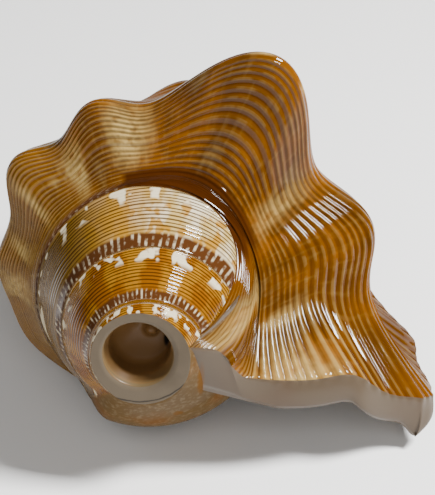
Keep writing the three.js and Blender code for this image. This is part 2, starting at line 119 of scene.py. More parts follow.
@dataclass(frozen=True)
class Spire:
    """The coiled cone behind the mouth ring, with its sutures, in mm and degrees."""

    # Cone and the spiral of its suture.
    ring_radius: float = 12.75
    fall: float = 2.0
    turn_growth: float = 1.424
    suture_radius: float = 27.8
    suture_turn: float = -200.0
    # Relief of the whorls, and limits that keep their sutures apart.
    bulge: float = 0.7
    step: float = 0.4
    step_share: float = 0.16
    full_relief: float = 10.0
    upper_limits: Span = (0.9, 0.004)
    middle_limits: Span = (0.95, 0.008)
    whorl_slack: float = 0.01
    # Climb of the last suture to the ring, and the spiral's closing up there.
    climb_start: float = -118.0
    climb_span: float = 85.0
    least_strip: float = 0.25
    closing: float = 2.0
    closing_start: float = -14.0
    closing_full: float = -5.0
    # Drawing in at the ring, and where the callus covers the relief.
    crown_inset: float = 1.05
    crown_depth: float = 10.0
    crown_shift: tuple[float, float] = (0.6, 0.5)
    cover_start: float = -236.0
    cover_full: float = -258.0

    @property
    def apex(self) -> float:
        """Height of the cone's missing apex over the ring."""
        return self.ring_radius * self.fall

    def cone_radius(self, z: np.ndarray) -> np.ndarray:
        """Radius of the cone at a height."""
        return self.ring_radius - z / self.fall

    def spiral_height(self, turn: np.ndarray) -> np.ndarray:
        """Height of the suture's plain spiral on the cone.

        Its radius grows by the factor turn_growth each turn, and its turns close up at the ring.

        Args:
            turn: growth angle in degrees.

        Returns:
            The height in mm.
        """
        radius = self.suture_radius * self.turn_growth ** ((turn - self.suture_turn) / FULL_TURN)
        height = self.fall * (self.ring_radius - radius)
        return height + self.closing * ease(self.closing_start, self.closing_full, height)

    def crown(self, z: np.ndarray) -> np.ndarray:
        """Share of the drawing in next to the ring: 1 at the saw cut and 0 below the crown."""
        return ease(-self.crown_depth, 0.0, z)

    def suture_height(self, turn: np.ndarray) -> np.ndarray:
        """Height of the suture, which leaves the spiral near the lip and climbs to the ring.

        The climb follows the square root of one less a fourth power.

        Args:
            turn: growth angle in degrees.

        Returns:
            The height in mm.
        """
        plain = self.spiral_height(np.minimum(turn, self.climb_start))
        climb = clamp((turn - self.climb_start) / self.climb_span, 0.0, 1.0)
        return np.minimum(plain * np.sqrt(1.0 - climb ** 4), -self.least_strip)

    def suture_above(self, turn: np.ndarray, last: np.ndarray, limits: Span) -> np.ndarray:
        """Height of an earlier suture, kept between two shares of the last suture's height.

        Args:
            turn: growth angle of the earlier suture, in degrees.
            last: height of the last suture in mm.
            limits: shares of that height at the lowest and the highest.

        Returns:
            The height in mm.
        """
        lowest, highest = limits
        return np.minimum(np.maximum(self.suture_height(turn), lowest * last), highest * last)

    def profile(self, turn: np.ndarray, along: np.ndarray) -> tuple[np.ndarray, np.ndarray]:
        """Radius and height of the three whorls between the saw cut and the last suture.

        Each whorl bulges as half a sine wave, and its upper edge stands proud of the whorl above.

        Args:
            turn: growth angle of the suture below, in degrees.
            along: -1 at the saw cut to 0 at the last suture.

        Returns:
            Radius and height, in mm.
        """
        share = 3.0 * (clamp(along, -1.0, 0.0) + 1.0)
        whorl = clamp(np.floor(share), 0, 2)
        t = share - whorl
        last = self.suture_height(turn)
        middle = self.suture_above(turn - FULL_TURN, last, self.middle_limits)
        upper = self.suture_above(turn - 2 * FULL_TURN, last, self.upper_limits)
        top = np.where(whorl == 0, 0.0, np.where(whorl == 1, upper, middle))
        bottom = np.where(whorl == 0, upper, np.where(whorl == 1, middle, last))
        z = lerp(top, bottom, t)
        size = np.minimum(1.0, (top - bottom) / self.full_relief)
        proud = self.step * (1.0 - ease(0.0, self.step_share, t))
        relief = (self.bulge * np.sin(np.pi * t) + proud) * self.bare(turn)
        return self.cone_radius(z) + size * relief, z

    def bare(self, turn: np.ndarray) -> np.ndarray:
        """Share of the relief that shows: 1 on the bare spire and 0 under the callus."""
        return 1.0 - ease(self.cover_start, self.cover_full, turn)

    def band(self, turn: np.ndarray, z: np.ndarray, whorl: np.ndarray) -> tuple[np.ndarray, np.ndarray]:
        """Where a point of the spire lies between the plain spirals of its sutures.

        Args:
            turn: growth angle of the last suture below the point, in degrees.
            z: height of the point in mm.
            whorl: 0, 1 or 2, counted down from the saw cut.

        Returns:
            The growth angle of the whorl's own suture, and 0 at the suture above to 1 at it.
        """
        for _ in range(2):
            own = turn - FULL_TURN * (2 - whorl)
            above = self.spiral_height(own - FULL_TURN)
            below = self.spiral_height(own)
            share = (above - z) / (above - below)
            whorl = np.where(share < -self.whorl_slack, whorl - 1, whorl)
        return own, share


@dataclass(frozen=True)
class BodyWhorl:
    """The last whorl, from the suture over the knobbed shoulder to the front end, and its wing."""

    # Shoulder, with its growth factors for each turn.
    shoulder_radius: float = 38.9
    growth_old: float = 2.9
    growth_new: float = 1.7
    shoulder_turn: float = -200.0
    shoulder_z: float = -42.0
    shoulder_sink: float = 4.0
    sink_span: float = 150.0
    sink_end: float = -50.0
    # How the knobs lift the ramp and the side, and the ramp's hollow.
    knob_lift: float = 0.14
    knob_bend: float = 1.3
    knob_reach: float = 0.2
    hollow: float = 0.06
    # Front end.
    front_radius: float = 4.0
    front_z: float = -140.0
    front_tip: float = 2.5
    taper: float = 1.5
    # Wing: its spread, its flare down the side, and its lobe with a dip above it.
    wing_span: float = 55.0
    wing_reach: float = 26.0
    wing_rise: float = 20.0
    wing_taper: float = 1.6
    wing_arch: float = 0.03
    wing_power: float = 4.0
    wing_power_rise: float = 36.0
    wing_power_end: float = 0.25
    flare_loss: float = 0.35
    flare_loss_end: float = 0.4
    wing_lobe: float = 4.0
    lobe_place: float = 0.3
    lobe_width: float = 0.09
    dip_share: float = 0.6
    dip_place: float = 0.15
    dip_width: float = 0.07
    # Root of the lip on the spire, and the proud edge beside the suture.
    root_start: float = -115.0
    root_full: float = -70.0
    root_z: float = -34.4
    root_span: float = 110.0
    root_climb: float = 0.85
    root_edge: float = 0.25
    edge_step: float = 0.4
    edge_share: float = 0.05
    # Shoulder knobs, and the lower row.
    knobs: tuple[Knob, ...] = (
        Knob(-222, 0.8, 12), Knob(-190, 2, 10), Knob(-155, 8, 11),
        Knob(-125, 8.5, 12), Knob(-81, 25, 19), Knob(-35, 10.5, 14),
    )
    low_knobs: tuple[Knob, ...] = (Knob(-150, 2.5, 12), Knob(-98, 7.5, 16), Knob(-45, 4, 14))
    low_row: float = 0.34
    low_row_width: float = 0.12

    def wing(self, turn: np.ndarray) -> np.ndarray:
        """Share of the wing's spread: 0 before it and 1 at the lip."""
        return clamp((turn + self.wing_span) / self.wing_span, 0.0, 1.0)

    def bare_radius(self, turn: np.ndarray) -> np.ndarray:
        """Shoulder radius without knobs or wing, growing by a fixed factor each turn."""
        growth = np.where(turn < self.shoulder_turn, self.growth_old, self.growth_new)
        return self.shoulder_radius * growth ** ((turn - self.shoulder_turn) / FULL_TURN)

    def shoulder_height(self, turn: np.ndarray) -> np.ndarray:
        """Height of the shoulder, which sinks with growth and rises on the wing."""
        sunk = (np.minimum(turn, self.sink_end) - self.shoulder_turn) / self.sink_span
        return self.shoulder_z - self.shoulder_sink * sunk + self.wing_rise * self.wing(turn) ** 3

    def ramp(self, spire: Spire, turn: np.ndarray, x: np.ndarray,
             last_z: np.ndarray) -> tuple[np.ndarray, np.ndarray]:
        """Radius and height from the last suture (x 0) to the shoulder (x 1).

        A straight run with a hollow or arch like a squared sine, lifted by the knobs.

        Args:
            spire: the spire that the ramp starts on.
            turn: growth angle in degrees.
            x: place on the ramp.
            last_z: height of the suture in mm.

        Returns:
            Radius and height, in mm.
        """
        wing = self.wing(turn)
        climb = clamp((turn + self.root_span) / self.root_span, 0.0, 1.0)
        root_z = self.root_z * (1.0 - self.root_climb * climb ** 2)
        root = ease(0.0, self.root_edge, x) * ease(self.root_start, self.root_full, turn)
        start_z = lerp(last_z, root_z, root)
        start_r = spire.cone_radius(start_z)
        reach = self.bare_radius(turn) + self.wing_reach * wing ** 4 - start_r
        fall = start_z - self.shoulder_height(turn)
        arch = lerp(-self.hollow, self.wing_arch, wing) * np.sin(np.pi * x) ** 2
        knob = knob_row(self.knobs, turn) * np.sin(np.pi / 2 * x ** self.knob_bend) ** 2
        proud = self.edge_step * (1.0 - ease(0.0, self.edge_share, x)) * (1.0 - wing) * spire.bare(turn)
        r = start_r + reach * x + arch * fall + knob + proud
        return r, start_z - fall * x + arch * reach + self.knob_lift * knob

    def side(self, turn: np.ndarray, q: np.ndarray) -> tuple[np.ndarray, np.ndarray]:
        """Radius and height from the shoulder (q 0) to the front end (q 1).

        A power curve toward the axis, with the wing's flare, its lobe and both rows of knobs.

        Args:
            turn: growth angle in degrees.
            q: place on the side.

        Returns:
            Radius and height, in mm.
        """
        wing = self.wing(turn)
        taper = self.taper + self.wing_taper * wing ** 4
        power = self.wing_power + self.wing_power_rise * np.minimum(q, self.wing_power_end)
        flare = self.wing_reach * wing ** power * (1.0 - self.flare_loss * ease(0.0, self.flare_loss_end, q))
        full = self.bare_radius(turn) + flare - self.front_radius
        dip = self.dip_share * bump(q, self.dip_place, self.dip_width)
        lobe = self.wing_lobe * wing ** 6 * (bump(q, self.lobe_place, self.lobe_width) - dip)
        knob = knob_row(self.knobs, turn) * bump(q, 0.0, self.knob_reach)
        low = knob_row(self.low_knobs, turn) * bump(q, self.low_row, self.low_row_width)
        r = self.front_radius + full * (1.0 - q ** taper) + lobe + knob + low
        return r, lerp(self.shoulder_height(turn), self.front_z, q) + self.knob_lift * knob


@dataclass(frozen=True)
class Callus:
    """The smooth inner lip laid over the spire and body beside the opening."""

    top_radius: float = 9.5
    spread: float = 25.5
    depth: float = 14.0
    fade_z: float = -34.0
    low_z: float = -46.0
    edge: float = -243.0
    full: float = -268.0
    thin_start: float = -338.0
    thin_end: float = -378.0
    thin_share: float = 0.75
    blend: float = 2.2

    def rise(self, turn: np.ndarray, r: np.ndarray, z: np.ndarray) -> np.ndarray:
        """Extra radius over a surface: a soft maximum of it and a rounded cone.

        Args:
            turn: growth angle in degrees.
            r: radius of the surface in mm.
            z: height of the surface in mm.

        Returns:
            The rise in mm.
        """
        cone = self.top_radius + self.spread * (1.0 - np.exp(np.minimum(z, 0.0) / self.depth))
        over = np.log1p(np.exp((cone - r) / self.blend))
        thin = 1.0 - self.thin_share * ease(self.thin_start, self.thin_end, turn)
        share = ease(self.edge, self.full, turn) * ease(self.low_z, self.fade_z, z) * thin
        return self.blend * over * share


@dataclass(frozen=True)
class ShellForm:
    """The whole grown surface, in a shell frame with the ring at z 0 and the back toward +Y."""

    spire: Spire = Spire()
    body: BodyWhorl = BodyWhorl()
    callus: Callus = Callus()
    # Lip margin: its bearing, and how far it draws back near the spire.
    lip_bearing: float = -18.0
    notch_angle: float = 33.0
    notch_slope: float = 12.0
    notch_start: float = 0.09
    notch_end: float = 0.15
    # Rounding of the shoulder, in places, and the steps to neighbouring points.
    rounding: float = 0.1
    rounding_width: float = 0.3
    neighbours: tuple[float, float] = (0.8, 0.003)
    folds: tuple[Fold, ...] = (Fold(0.58, 5.5, 0.14), Fold(0.9, 1.0, 0.12), Fold(0.38, 1.2, 0.12))

    def notch(self, along: np.ndarray) -> np.ndarray:
        """Degrees by which the lip margin draws back toward the spire."""
        drawn = self.notch_angle - self.notch_slope * clamp(along / self.notch_start, 0.0, 1.0)
        return drawn * (1.0 - ease(self.notch_start, self.notch_end, along))

    def profile(self, turn: np.ndarray, along: np.ndarray) -> tuple[np.ndarray, np.ndarray]:
        """Radius and height of the plain profile.

        Args:
            turn: growth angle of the last whole turn, in degrees.
            along: -1 to 0 on the spire, 0 to 1 on the ramp and 1 to 2 on the side.

        Returns:
            Radius and height, in mm.
        """
        suture_turn = turn - self.notch_angle
        spire_r, spire_z = self.spire.profile(suture_turn, along)
        last_z = self.spire.suture_height(suture_turn)
        ramp_r, ramp_z = self.body.ramp(self.spire, turn, clamp(along, 0.0, 1.0), last_z)
        side_r, side_z = self.body.side(turn, clamp(along - 1.0, 0.0, 1.0))
        r = np.where(along < 0, spire_r, np.where(along <= 1, ramp_r, side_r))
        return r, np.where(along < 0, spire_z, np.where(along <= 1, ramp_z, side_z))

    def rounded(self, turn: np.ndarray, along: np.ndarray) -> tuple[np.ndarray, np.ndarray]:
        """The profile with its shoulder rounded, as a mean of three points spread at the shoulder.

        Args:
            turn: growth angle of the last whole turn, in degrees.
            along: place down the profile.

        Returns:
            Radius and height, in mm.
        """
        spread = self.rounding * bump(along, 1.0, self.rounding_width) * np.minimum(1.0, 2.0 - along)
        middle = self.profile(turn, along)
        above = self.profile(turn, np.maximum(along - spread, 0.0))
        below = self.profile(turn, np.minimum(along + spread, 2.0))
        means = [(2 * m + a + b) / 4 for m, a, b in zip(middle, above, below)]
        return tuple(np.where(along > 0, mean, plain) for mean, plain in zip(means, middle))

    def points(self, turn: np.ndarray, along: np.ndarray) -> np.ndarray:
        """Points of the surface: the profile swung about the axis by the growth angle.

        Angles before the last whole turn repeat it, shrunk toward the cone's apex.

        Args:
            turn: growth angle in degrees, 0 at the lip.
            along: -1 to 2 down the profile.

        Returns:
            Points in mm, in the shell frame, with one more axis of 3.
        """
        turn, along = np.broadcast_arrays(np.asarray(turn, float), np.asarray(along, float))
        whole = np.maximum(turn, -FULL_TURN)
        shrink = self.spire.turn_growth ** ((turn - whole) / FULL_TURN)
        r, z = self.rounded(whole, along)
        r = (r + self.callus.rise(turn - self.notch(along), r, z)) * shrink
        z = self.spire.apex + (z - self.spire.apex) * shrink
        wing = self.body.wing(turn) ** 2
        fold = sum(fold.height * bump(along, fold.place, fold.width) for fold in self.folds) * wing
        bearing = np.radians(self.lip_bearing - turn + self.notch(along)) + fold / r
        crown = self.spire.crown(z)
        r = r - self.spire.crown_inset * crown
        x = r * np.cos(bearing) + self.spire.crown_shift[0] * crown
        y = r * np.sin(bearing) + self.spire.crown_shift[1] * crown
        return np.stack([x, y, z], axis=-1)

    def directions(self, turn: np.ndarray, along: np.ndarray) -> tuple[np.ndarray, np.ndarray]:
        """Outward normals and growth directions.

        The normal is the cross product of the differences between neighbours in turn and in place.

        Args:
            turn: growth angle in degrees.
            along: place down the profile.

        Returns:
            Unit normals and unit growth directions.
        """
        step, nudge = self.neighbours
        growth = self.points(turn + step, along) - self.points(turn - step, along)
        down = self.points(turn, along + nudge) - self.points(turn, along - nudge)
        normal = np.cross(growth, down)
        normal /= np.linalg.norm(normal, axis=-1, keepdims=True)
        return normal, growth / np.linalg.norm(growth, axis=-1, keepdims=True)


@dataclass(frozen=True)
class Rest:
    """How the shell frame lies in the part's frame: its lean and the place of the ring's centre."""

    pitch: float = -11.1
    roll: float = -1.65
    ring_centre: Point = (-16.5962, -68.7055, 38.8709)

    def rotation(self) -> np.ndarray:
        """Rotation matrix from the shell frame to the part's frame."""
        lean = Matrix.Rotation(math.radians(self.roll), 3, "Y")
        return np.array(lean @ Matrix.Rotation(math.radians(90.0 + self.pitch), 3, "X"))

    def place(self, points: np.ndarray) -> np.ndarray:
        """Points of the shell frame in mm, as points of the part's frame in metres."""
        return (points @ self.rotation().T + np.array(self.ring_centre)) * MILLIMETRE


class Part(Enum):
    """The parts of the shell that have a finish of their own, by material slot."""

    SKIN = 0
    LIP = 1
    RING = 2
    CUP = 3


@dataclass
class MeshParts:
    """Vertices, quads, marks and part numbers gathered into one closed mesh."""

    points: list[np.ndarray] = field(default_factory=list)
    marks: list[np.ndarray] = field(default_factory=list)
    quads: list[np.ndarray] = field(default_factory=list)
    parts: list[np.ndarray] = field(default_factory=list)
    count: int = 0

    def add_points(self, points: np.ndarray, marks: np.ndarray) -> np.ndarray:
        """Add points with their marks.

        Args:
            points: grid of points with a last axis of 3.
            marks: the same grid with a last axis of marks.

        Returns:
            The grid of their vertex numbers.
        """
        shape = points.shape[:-1]
        size = int(np.prod(shape))
        self.points.append(points.reshape(size, 3))
        self.marks.append(marks.reshape(size, marks.shape[-1]))
        numbers = np.arange(self.count, self.count + size).reshape(shape)
        self.count += size
        return numbers

    def add_grid(self, numbers: np.ndarray, part: Part) -> None:
        """Add the quads of a grid.

        Args:
            numbers: vertex numbers, with rows that run down and columns that run with the growth.
            part: the part that the quads belong to.
        """
        upper, lower = numbers[:-1], numbers[1:]
        quads = np.stack([upper[:, :-1], upper[:, 1:], lower[:, 1:], lower[:, :-1]], axis=-1)
        self.quads.append(quads.reshape(-1, 4))
        self.parts.append(np.full(len(self.quads[-1]), part.value))


@dataclass
class ConchShell:
    """The shell as one closed surface: mouth cup, ring, spire, body whorl, lip and throat."""

    form: ShellForm = ShellForm()
    rest: Rest = Rest()
    # Columns and rows of the outer surface.
    columns: int = 250
    lip_crowding: float = 0.4
    whorl_rows: int = 18
    ramp_rows: int = 118
    side_rows: int = 105
    suture_gap: float = 0.002
    # Marks: edge of the callus in degrees and mm, and units in mm.
    callus_turns: Span = (-246.0, -254.0)
    callus_heights: Span = (-58.0, -40.0)
    knob_unit: float = 10.0
    knob_band: float = 0.25
    depth_unit: float = 10.0
    # Cords for each band, their heights in mm, and where they start and fade out.
    cords: float = 21.0
    cord_height: float = 0.2
    wing_cord_height: float = 0.34
    cord_start: float = 0.2
    cord_full: float = 0.34
    wing_cord_full: float = 0.26
    cord_end: Span = (1.95, 1.8)
    wing_grown: Span = (-0.15, -0.09)
    flank: Span = (0.98, 1.1)
    flank_loss: float = 0.5
    cord_waves: tuple[Wave, ...] = (
        Wave(0.006, 3.1, 1.0), Wave(0.01, 0.0, 2.3, 1.0), Wave(0.005, 1.5, 5.1),
    )
    crowded_below: float = 0.2
    crowding: float = 2.5
    # Mouth cup and ring, in mm and degrees.
    hole_centre: tuple[float, float] = (0.1, 1.5)
    hole_radius: float = 8.25
    ledge_depth: float = 2.9
    ledge_width: float = 0.7
    floor_radius: float = 7.0
    floor_depth: float = 5.5
    floor_drop: float = 8.0
    floor_middle: float = 12.0
    step_bearing: float = 50.0
    step_span: float = 20.0
    stump_centre: tuple[float, float] = (2.4, 3.0)
    stump_radius: float = 1.6
    stump_height: float = 2.2
    stump_round: float = 0.6
    stump_crown: float = 0.2
    bowl_rows: int = 8
    ledge_slope: float = 0.4
    ledge_round: float = 0.15
    hole_round: float = 0.4
    hole_flare: float = 0.3
    ring_shares: tuple[float, ...] = (0.33, 0.66, 0.96)
    # Lip and its bevelled rim, in mm, places and degrees.
    lip_thickness: float = 5.6
    lip_least: float = 0.04
    lip_full: Span = (0.02, 0.3)
    shoulder_thinning: float = 0.35
    shoulder_width: float = 0.1
    lip_bevel: float = 5.0
    tip_hook: float = 4.5
    tip_place: float = 0.9
    tip_width: float = 0.06
    edge_bevel_loss: float = 0.55
    edge_bevel_span: Span = (0.95, 1.08)
    rim_turn: float = -1.5
    rim_back: float = 2.0
    rim_bend: float = 1.5
    # Throat: its wall in mm, its course in turns and degrees, and its rows in places.
    wall: float = 3.2
    throat_turns: float = 1.05
    throat_start: float = -4.0
    throat_bend: float = 1.3
    throat_front: Span = (1.8, 1.9)
    inside_turns: Span = (-2.0, -60.0)
    wall_turns: Span = (0.0, -70.0)
    gather_start: Span = (0.25, 0.42)
    gather_end: Span = (0.45, 0.65)
    inner_gather: float = 0.3
    meeting: Span = (0.9, 0.5)
    climb_turn: float = 25.0
    climb_bend: float = 0.6
    climb_height: float = 1.13
    late_climb: float = 0.35
    late_turns: Span = (-27.0, -120.0)
    soft_span: float = 0.16
    soft_rows: int = 11
    # Rounded valley beside the last suture.
    valley: float = 0.15
    valley_span: float = 0.07
    valley_rows: int = 5
    valley_turns: Span = (-200.0, -150.0)
    # Web between the lip's root and the callus, in places, degrees and mm.
    lead_span: float = 0.15
    lead_end: float = 12.0
    web_sunk: float = 0.6
    web_row: float = 0.3
    web_turn: float = 52.0
    web_top: float = -0.66
    web_foot: float = -0.41
    web_fan: float = 0.12
    web_blend: float = 0.1
    # Loops of the opening, and names of the marks in order.
    bevel_loops: int = 8
    throat_loops: int = 28
    mark_names: tuple[str, ...] = ("turn", "band", "spire", "callus", "knob", "depth", "cord")

    def turns(self) -> np.ndarray:
        """Growth angles of the columns, closer together toward the lip."""
        share = np.linspace(0.0, 1.0, self.columns + 1)
        return FULL_TURN * (share * (1.0 + self.lip_crowding * (1.0 - share)) - 1.0)

    def rows(self) -> np.ndarray:
        """Places down the profile, with two rows at each suture so that the edge stays sharp.

        Returns:
            The places, from -1 at the saw cut to 2 at the front end.
        """
        share = np.linspace(0.0, 1.0 - self.suture_gap, self.whorl_rows)
        spire = np.concatenate([(whorl + share) / 3.0 - 1.0 for whorl in range(3)])
        ramp = np.linspace(0.0, 1.0, self.ramp_rows, endpoint=False)
        return np.concatenate([spire, ramp, np.linspace(1.0, 2.0, self.side_rows + 1)])

    def skin_marks(self, turn: np.ndarray, along: np.ndarray, points: np.ndarray) -> np.ndarray:
        """Marks that the colours follow on the outer surface.

        Args:
            turn: growth angle in degrees.
            along: place down the profile.
            points: the points in the shell frame, in mm.

        Returns:
            Turns grown, place in the band, shares of spire, callus and knob, depth, and cords counted.
        """
        turn, along = np.broadcast_arrays(turn, along)
        z = points[..., 2]
        whorl = clamp(np.floor(3.0 * (along + 1.0)), 0, 2)
        own, share = self.form.spire.band(turn - self.form.notch_angle, z, whorl)
        on_spire = (along < 0).astype(float)
        noted = turn - self.form.notch(along)
        grown = np.where(along < 0, own, noted) / FULL_TURN
        band = np.where(along < 0, share, along)
        callus = ease(*self.callus_turns, noted) * ease(*self.callus_heights, z)
        knob = knob_row(self.form.body.knobs, turn) / self.knob_unit * bump(along, 1.0, self.knob_band)
        cord = self.cord_count(grown, band)
        return np.stack([grown, band, on_spire, callus, knob, np.zeros_like(z), cord], axis=-1)

    def cord_count(self, grown: np.ndarray, band: np.ndarray) -> np.ndarray:
        """Cords counted down the band.

        The count rises evenly with the band, plus slow waves that make the cords sway and change their
        width, and faster close to the suture, where the cords crowd.

        Args:
            grown: turns grown.
            band: place in the band.

        Returns:
            The count, a whole number and a quarter on each crest.
        """
        sway = sum(
            wave.height * np.sin(CIRCLE * (wave.per_turn * grown + wave.per_band * band) + wave.start)
            for wave in self.cord_waves
        )
        crowd = self.crowding * np.maximum(self.crowded_below - band, 0.0)
        return self.cords * (band + sway - crowd)

    def cord_relief(self, marks: np.ndarray) -> np.ndarray:
        """Height of the cords: a sine of their count, flat on the spire, on the callus and at both ends.

        Args:
            marks: marks of the outer surface.

        Returns:
            The height above the plain surface in mm, higher on the wing.
        """
        grown, band, spire, callus, _, _, cord = np.moveaxis(marks, -1, 0)
        wing = ease(*self.wing_grown, grown)
        full = lerp(self.cord_full, self.wing_cord_full, wing)
        share = ease(self.cord_start, full, band) * ease(*self.cord_end, band)
        share = share * (1.0 - spire) * (1.0 - callus) * (1.0 - self.flank_loss * ease(*self.flank, band))
        height = lerp(self.cord_height, self.wing_cord_height, wing)
        return 0.5 * height * share * np.sin(CIRCLE * cord)

    def cup_points(self, bearing: np.ndarray) -> np.ndarray:
        """Points of the mouth from the axis stump out to the ring's inner edge.

        The floor is a bowl that falls once around the stump and steps back up. Its wall ends in a
        ledge under the ring.

        Args:
            bearing: bearing of each column about the hole's middle, in degrees.

        Returns:
            Points in mm, rows from the stump outward.
        """
        around = (bearing - self.step_bearing) % FULL_TURN
        run = FULL_TURN - self.step_span
        wall_z = -self.floor_depth - self.floor_drop * around / run * (1.0 - ease(run, FULL_TURN, around))
        zero = np.zeros_like(bearing)
        top = zero - self.floor_middle + self.stump_height
        rows = [
            (0.0, zero, top),
            (0.0, zero + self.stump_round * self.stump_radius, top - self.stump_crown),
            (0.0, zero + self.stump_radius, top - self.stump_round * self.stump_height),
        ]
        for share in np.linspace(0.1, 1.0, self.bowl_rows):
            r = zero + lerp(self.stump_radius, self.floor_radius, share)
            rows.append((share, r, lerp(zero - self.floor_middle, wall_z, share ** 2)))
        ledge_radius = self.hole_radius - self.ledge_width
        for share in (0.35, 0.7, 1.0):
            r = zero + lerp(self.floor_radius, ledge_radius, share)
            rows.append((1.0, r, lerp(wall_z, zero - self.ledge_depth - self.ledge_slope, share)))
        rows += [
            (1.0, zero + self.hole_radius - self.ledge_round, zero - self.ledge_depth),
            (1.0, zero + self.hole_radius, zero - self.hole_round),
            (1.0, zero + self.hole_radius + self.hole_flare, zero),
        ]
        angle = np.radians(bearing)
        stump, hole = np.array(self.stump_centre), np.array(self.hole_centre)
        grid = []
        for share, r, z in rows:
            x, y = lerp(stump, hole, share)
            grid.append(np.stack([x + r * np.cos(angle), y + r * np.sin(angle), z], axis=-1))
        return np.stack(grid)

    def lip_share(self, along: np.ndarray) -> np.ndarray:
        """Share of the lip's thickness down the profile, less near the spire and at the shoulder."""
        thin = 1.0 - self.shoulder_thinning * bump(along, 1.0, self.shoulder_width)
        return np.maximum(self.lip_least, ease(*self.lip_full, along)) * thin

    def soften(self, points: np.ndarray, along: np.ndarray, middle: float, span: float,
               reach: int) -> np.ndarray:
        """Round a bend of the profile: near it each point becomes the mean of its neighbours in the rows.

        Args:
            points: points whose first axis runs down the profile.
            along: places of the rows.
            middle: place of the bend.
            span: half width of the rounded part, in places.
            reach: rows on each side that are averaged.

        Returns:
            The softened points.
        """
        others = ((0, 0),) * (points.ndim - 1)
        padded = np.pad(points, ((reach, reach),) + others, mode="edge")
        total = np.cumsum(np.pad(padded, ((1, 0),) + others), axis=0)
        width = 2 * reach + 1
        means = (total[width:] - total[:-width]) / width
        share = bump(along, middle, span).reshape((-1,) + (1,) * len(others))
        return lerp(points, means, share)

    def throat_place(self, along: np.ndarray, lowest: float, kept: float) -> np.ndarray:
        """Places of the throat's rows: rows above kept draw together, and the front stops short.

        Args:
            along: places of the outer rows.
            lowest: place that the first row is drawn to.
            kept: place from which the rows stay as they are.

        Returns:
            The places of the throat's rows.
        """
        drawn = lerp(lowest, kept, (along + 1.0) / (kept + 1.0))
        start, stop = self.throat_front
        short = lerp(start, stop, (along - start) / (2.0 - start))
        return np.where(along < kept, drawn, np.where(along > start, short, along))

    def inner_points(self, turn: float, along: np.ndarray, start: float, lead: float,
                     sunk: float) -> np.ndarray:
        """Points down the inner-lip side, on the whorl that the lip meets.

        Args:
            turn: growth angle of the loop in degrees.
            along: places of the rows.
            start: place where the loop starts on that whorl.
            lead: degrees by which its start is drawn round the callus, ahead of the loop.
            sunk: depth in mm of the drawn part under the callus.

        Returns:
            The points in mm.
        """
        place = self.throat_place(along, start, start + self.inner_gather)
        drawn = 1.0 - ease(start, start + self.lead_span, place)
        points = self.form.points(turn - FULL_TURN + lead * drawn, place)
        radius = np.hypot(points[:, 0], points[:, 1])
        points[:, :2] *= (1.0 - sunk * drawn / radius)[:, None]
        return points

    def opening_loop(self, lip: np.ndarray, inner: np.ndarray, share: float) -> np.ndarray:
        """One loop of the opening: down the lip side and back up the inner-lip side.

        Args:
            lip: points down the lip side.
            inner: points down the inner-lip side.
            share: where the sides meet at the spire end, 0 on the lip side and 1 on the inner side.

        Returns:
            The points of the loop.
        """
        start = lerp(lip[:1], inner[:1], share)
        end = lerp(lip[-1:], inner[-1:], 0.5)
        return np.concatenate([start, lip[1:-1], end, inner[-2:0:-1]])

    def rim_points(self, share: float, along: np.ndarray) -> np.ndarray:
        """Points of the lip's bevelled rim, from the margin at share 0 to the throat at share 1.

        Args:
            share: place across the rim.
            along: places of the rows.

        Returns:
            The points in mm.
        """
        normal, growth = self.form.directions(self.rim_turn, along)
        depth = self.lip_thickness * share * self.lip_share(along)
        bevel = self.lip_bevel * (1.0 - self.edge_bevel_loss * ease(*self.edge_bevel_span, along))
        spread = 1.0 - (1.0 - share) ** self.rim_bend
        lip = np.radians(self.form.lip_bearing)
        ahead = np.array([np.sin(lip), -np.cos(lip), 0.0])
        hook = self.tip_hook * bump(along, self.tip_place, self.tip_width) * spread
        rim = self.form.points(0.0, along) - normal * depth[:, None]
        return rim + growth * (bevel * spread)[:, None] + ahead * hook[:, None]

    def bevel_loop(self, share: float, along: np.ndarray) -> np.ndarray:
        """Loop of the lip's rim, with the web that joins its root to the callus.

        The web is ruled from the lip margin to a straight foot, which runs from the callus to the rim.

        Args:
            share: 0 at the lip margin to 1 at the throat.
            along: places of the rows.

        Returns:
            The points of the loop.
        """
        kept = self.throat_place(np.maximum(along, self.web_row), 0.0, 0.0)
        rim = self.rim_points(share, kept)
        corner = self.rim_points(1.0, np.array([self.web_row]))
        lead = self.web_turn * share
        start = lerp(self.web_top, self.web_foot, share)
        back = self.rim_back * share
        inner = self.inner_points(-back, along, start, lead + back, self.web_sunk * share)
        foot = self.form.points(self.web_turn - FULL_TURN, np.array([self.web_foot]))
        above = self.web_fan * (along + 1.0)
        below = self.web_fan + (1.0 - self.web_fan) * along / self.web_row
        t = clamp(np.where(along < 0, above, below), 0.0, 1.0)[:, None]
        margin = self.form.points(0.0, along)
        sheet = lerp(margin, lerp(foot, corner, t), share)
        sheet = sheet + (inner[0] - lerp(margin[0], foot[0], share)) * (1.0 - t) ** 2
        blend = ease(self.web_row - self.web_blend, self.web_row + self.web_blend, along)
        lip = lerp(sheet, rim, blend[:, None])
        return self.opening_loop(lip, inner, 1.0)

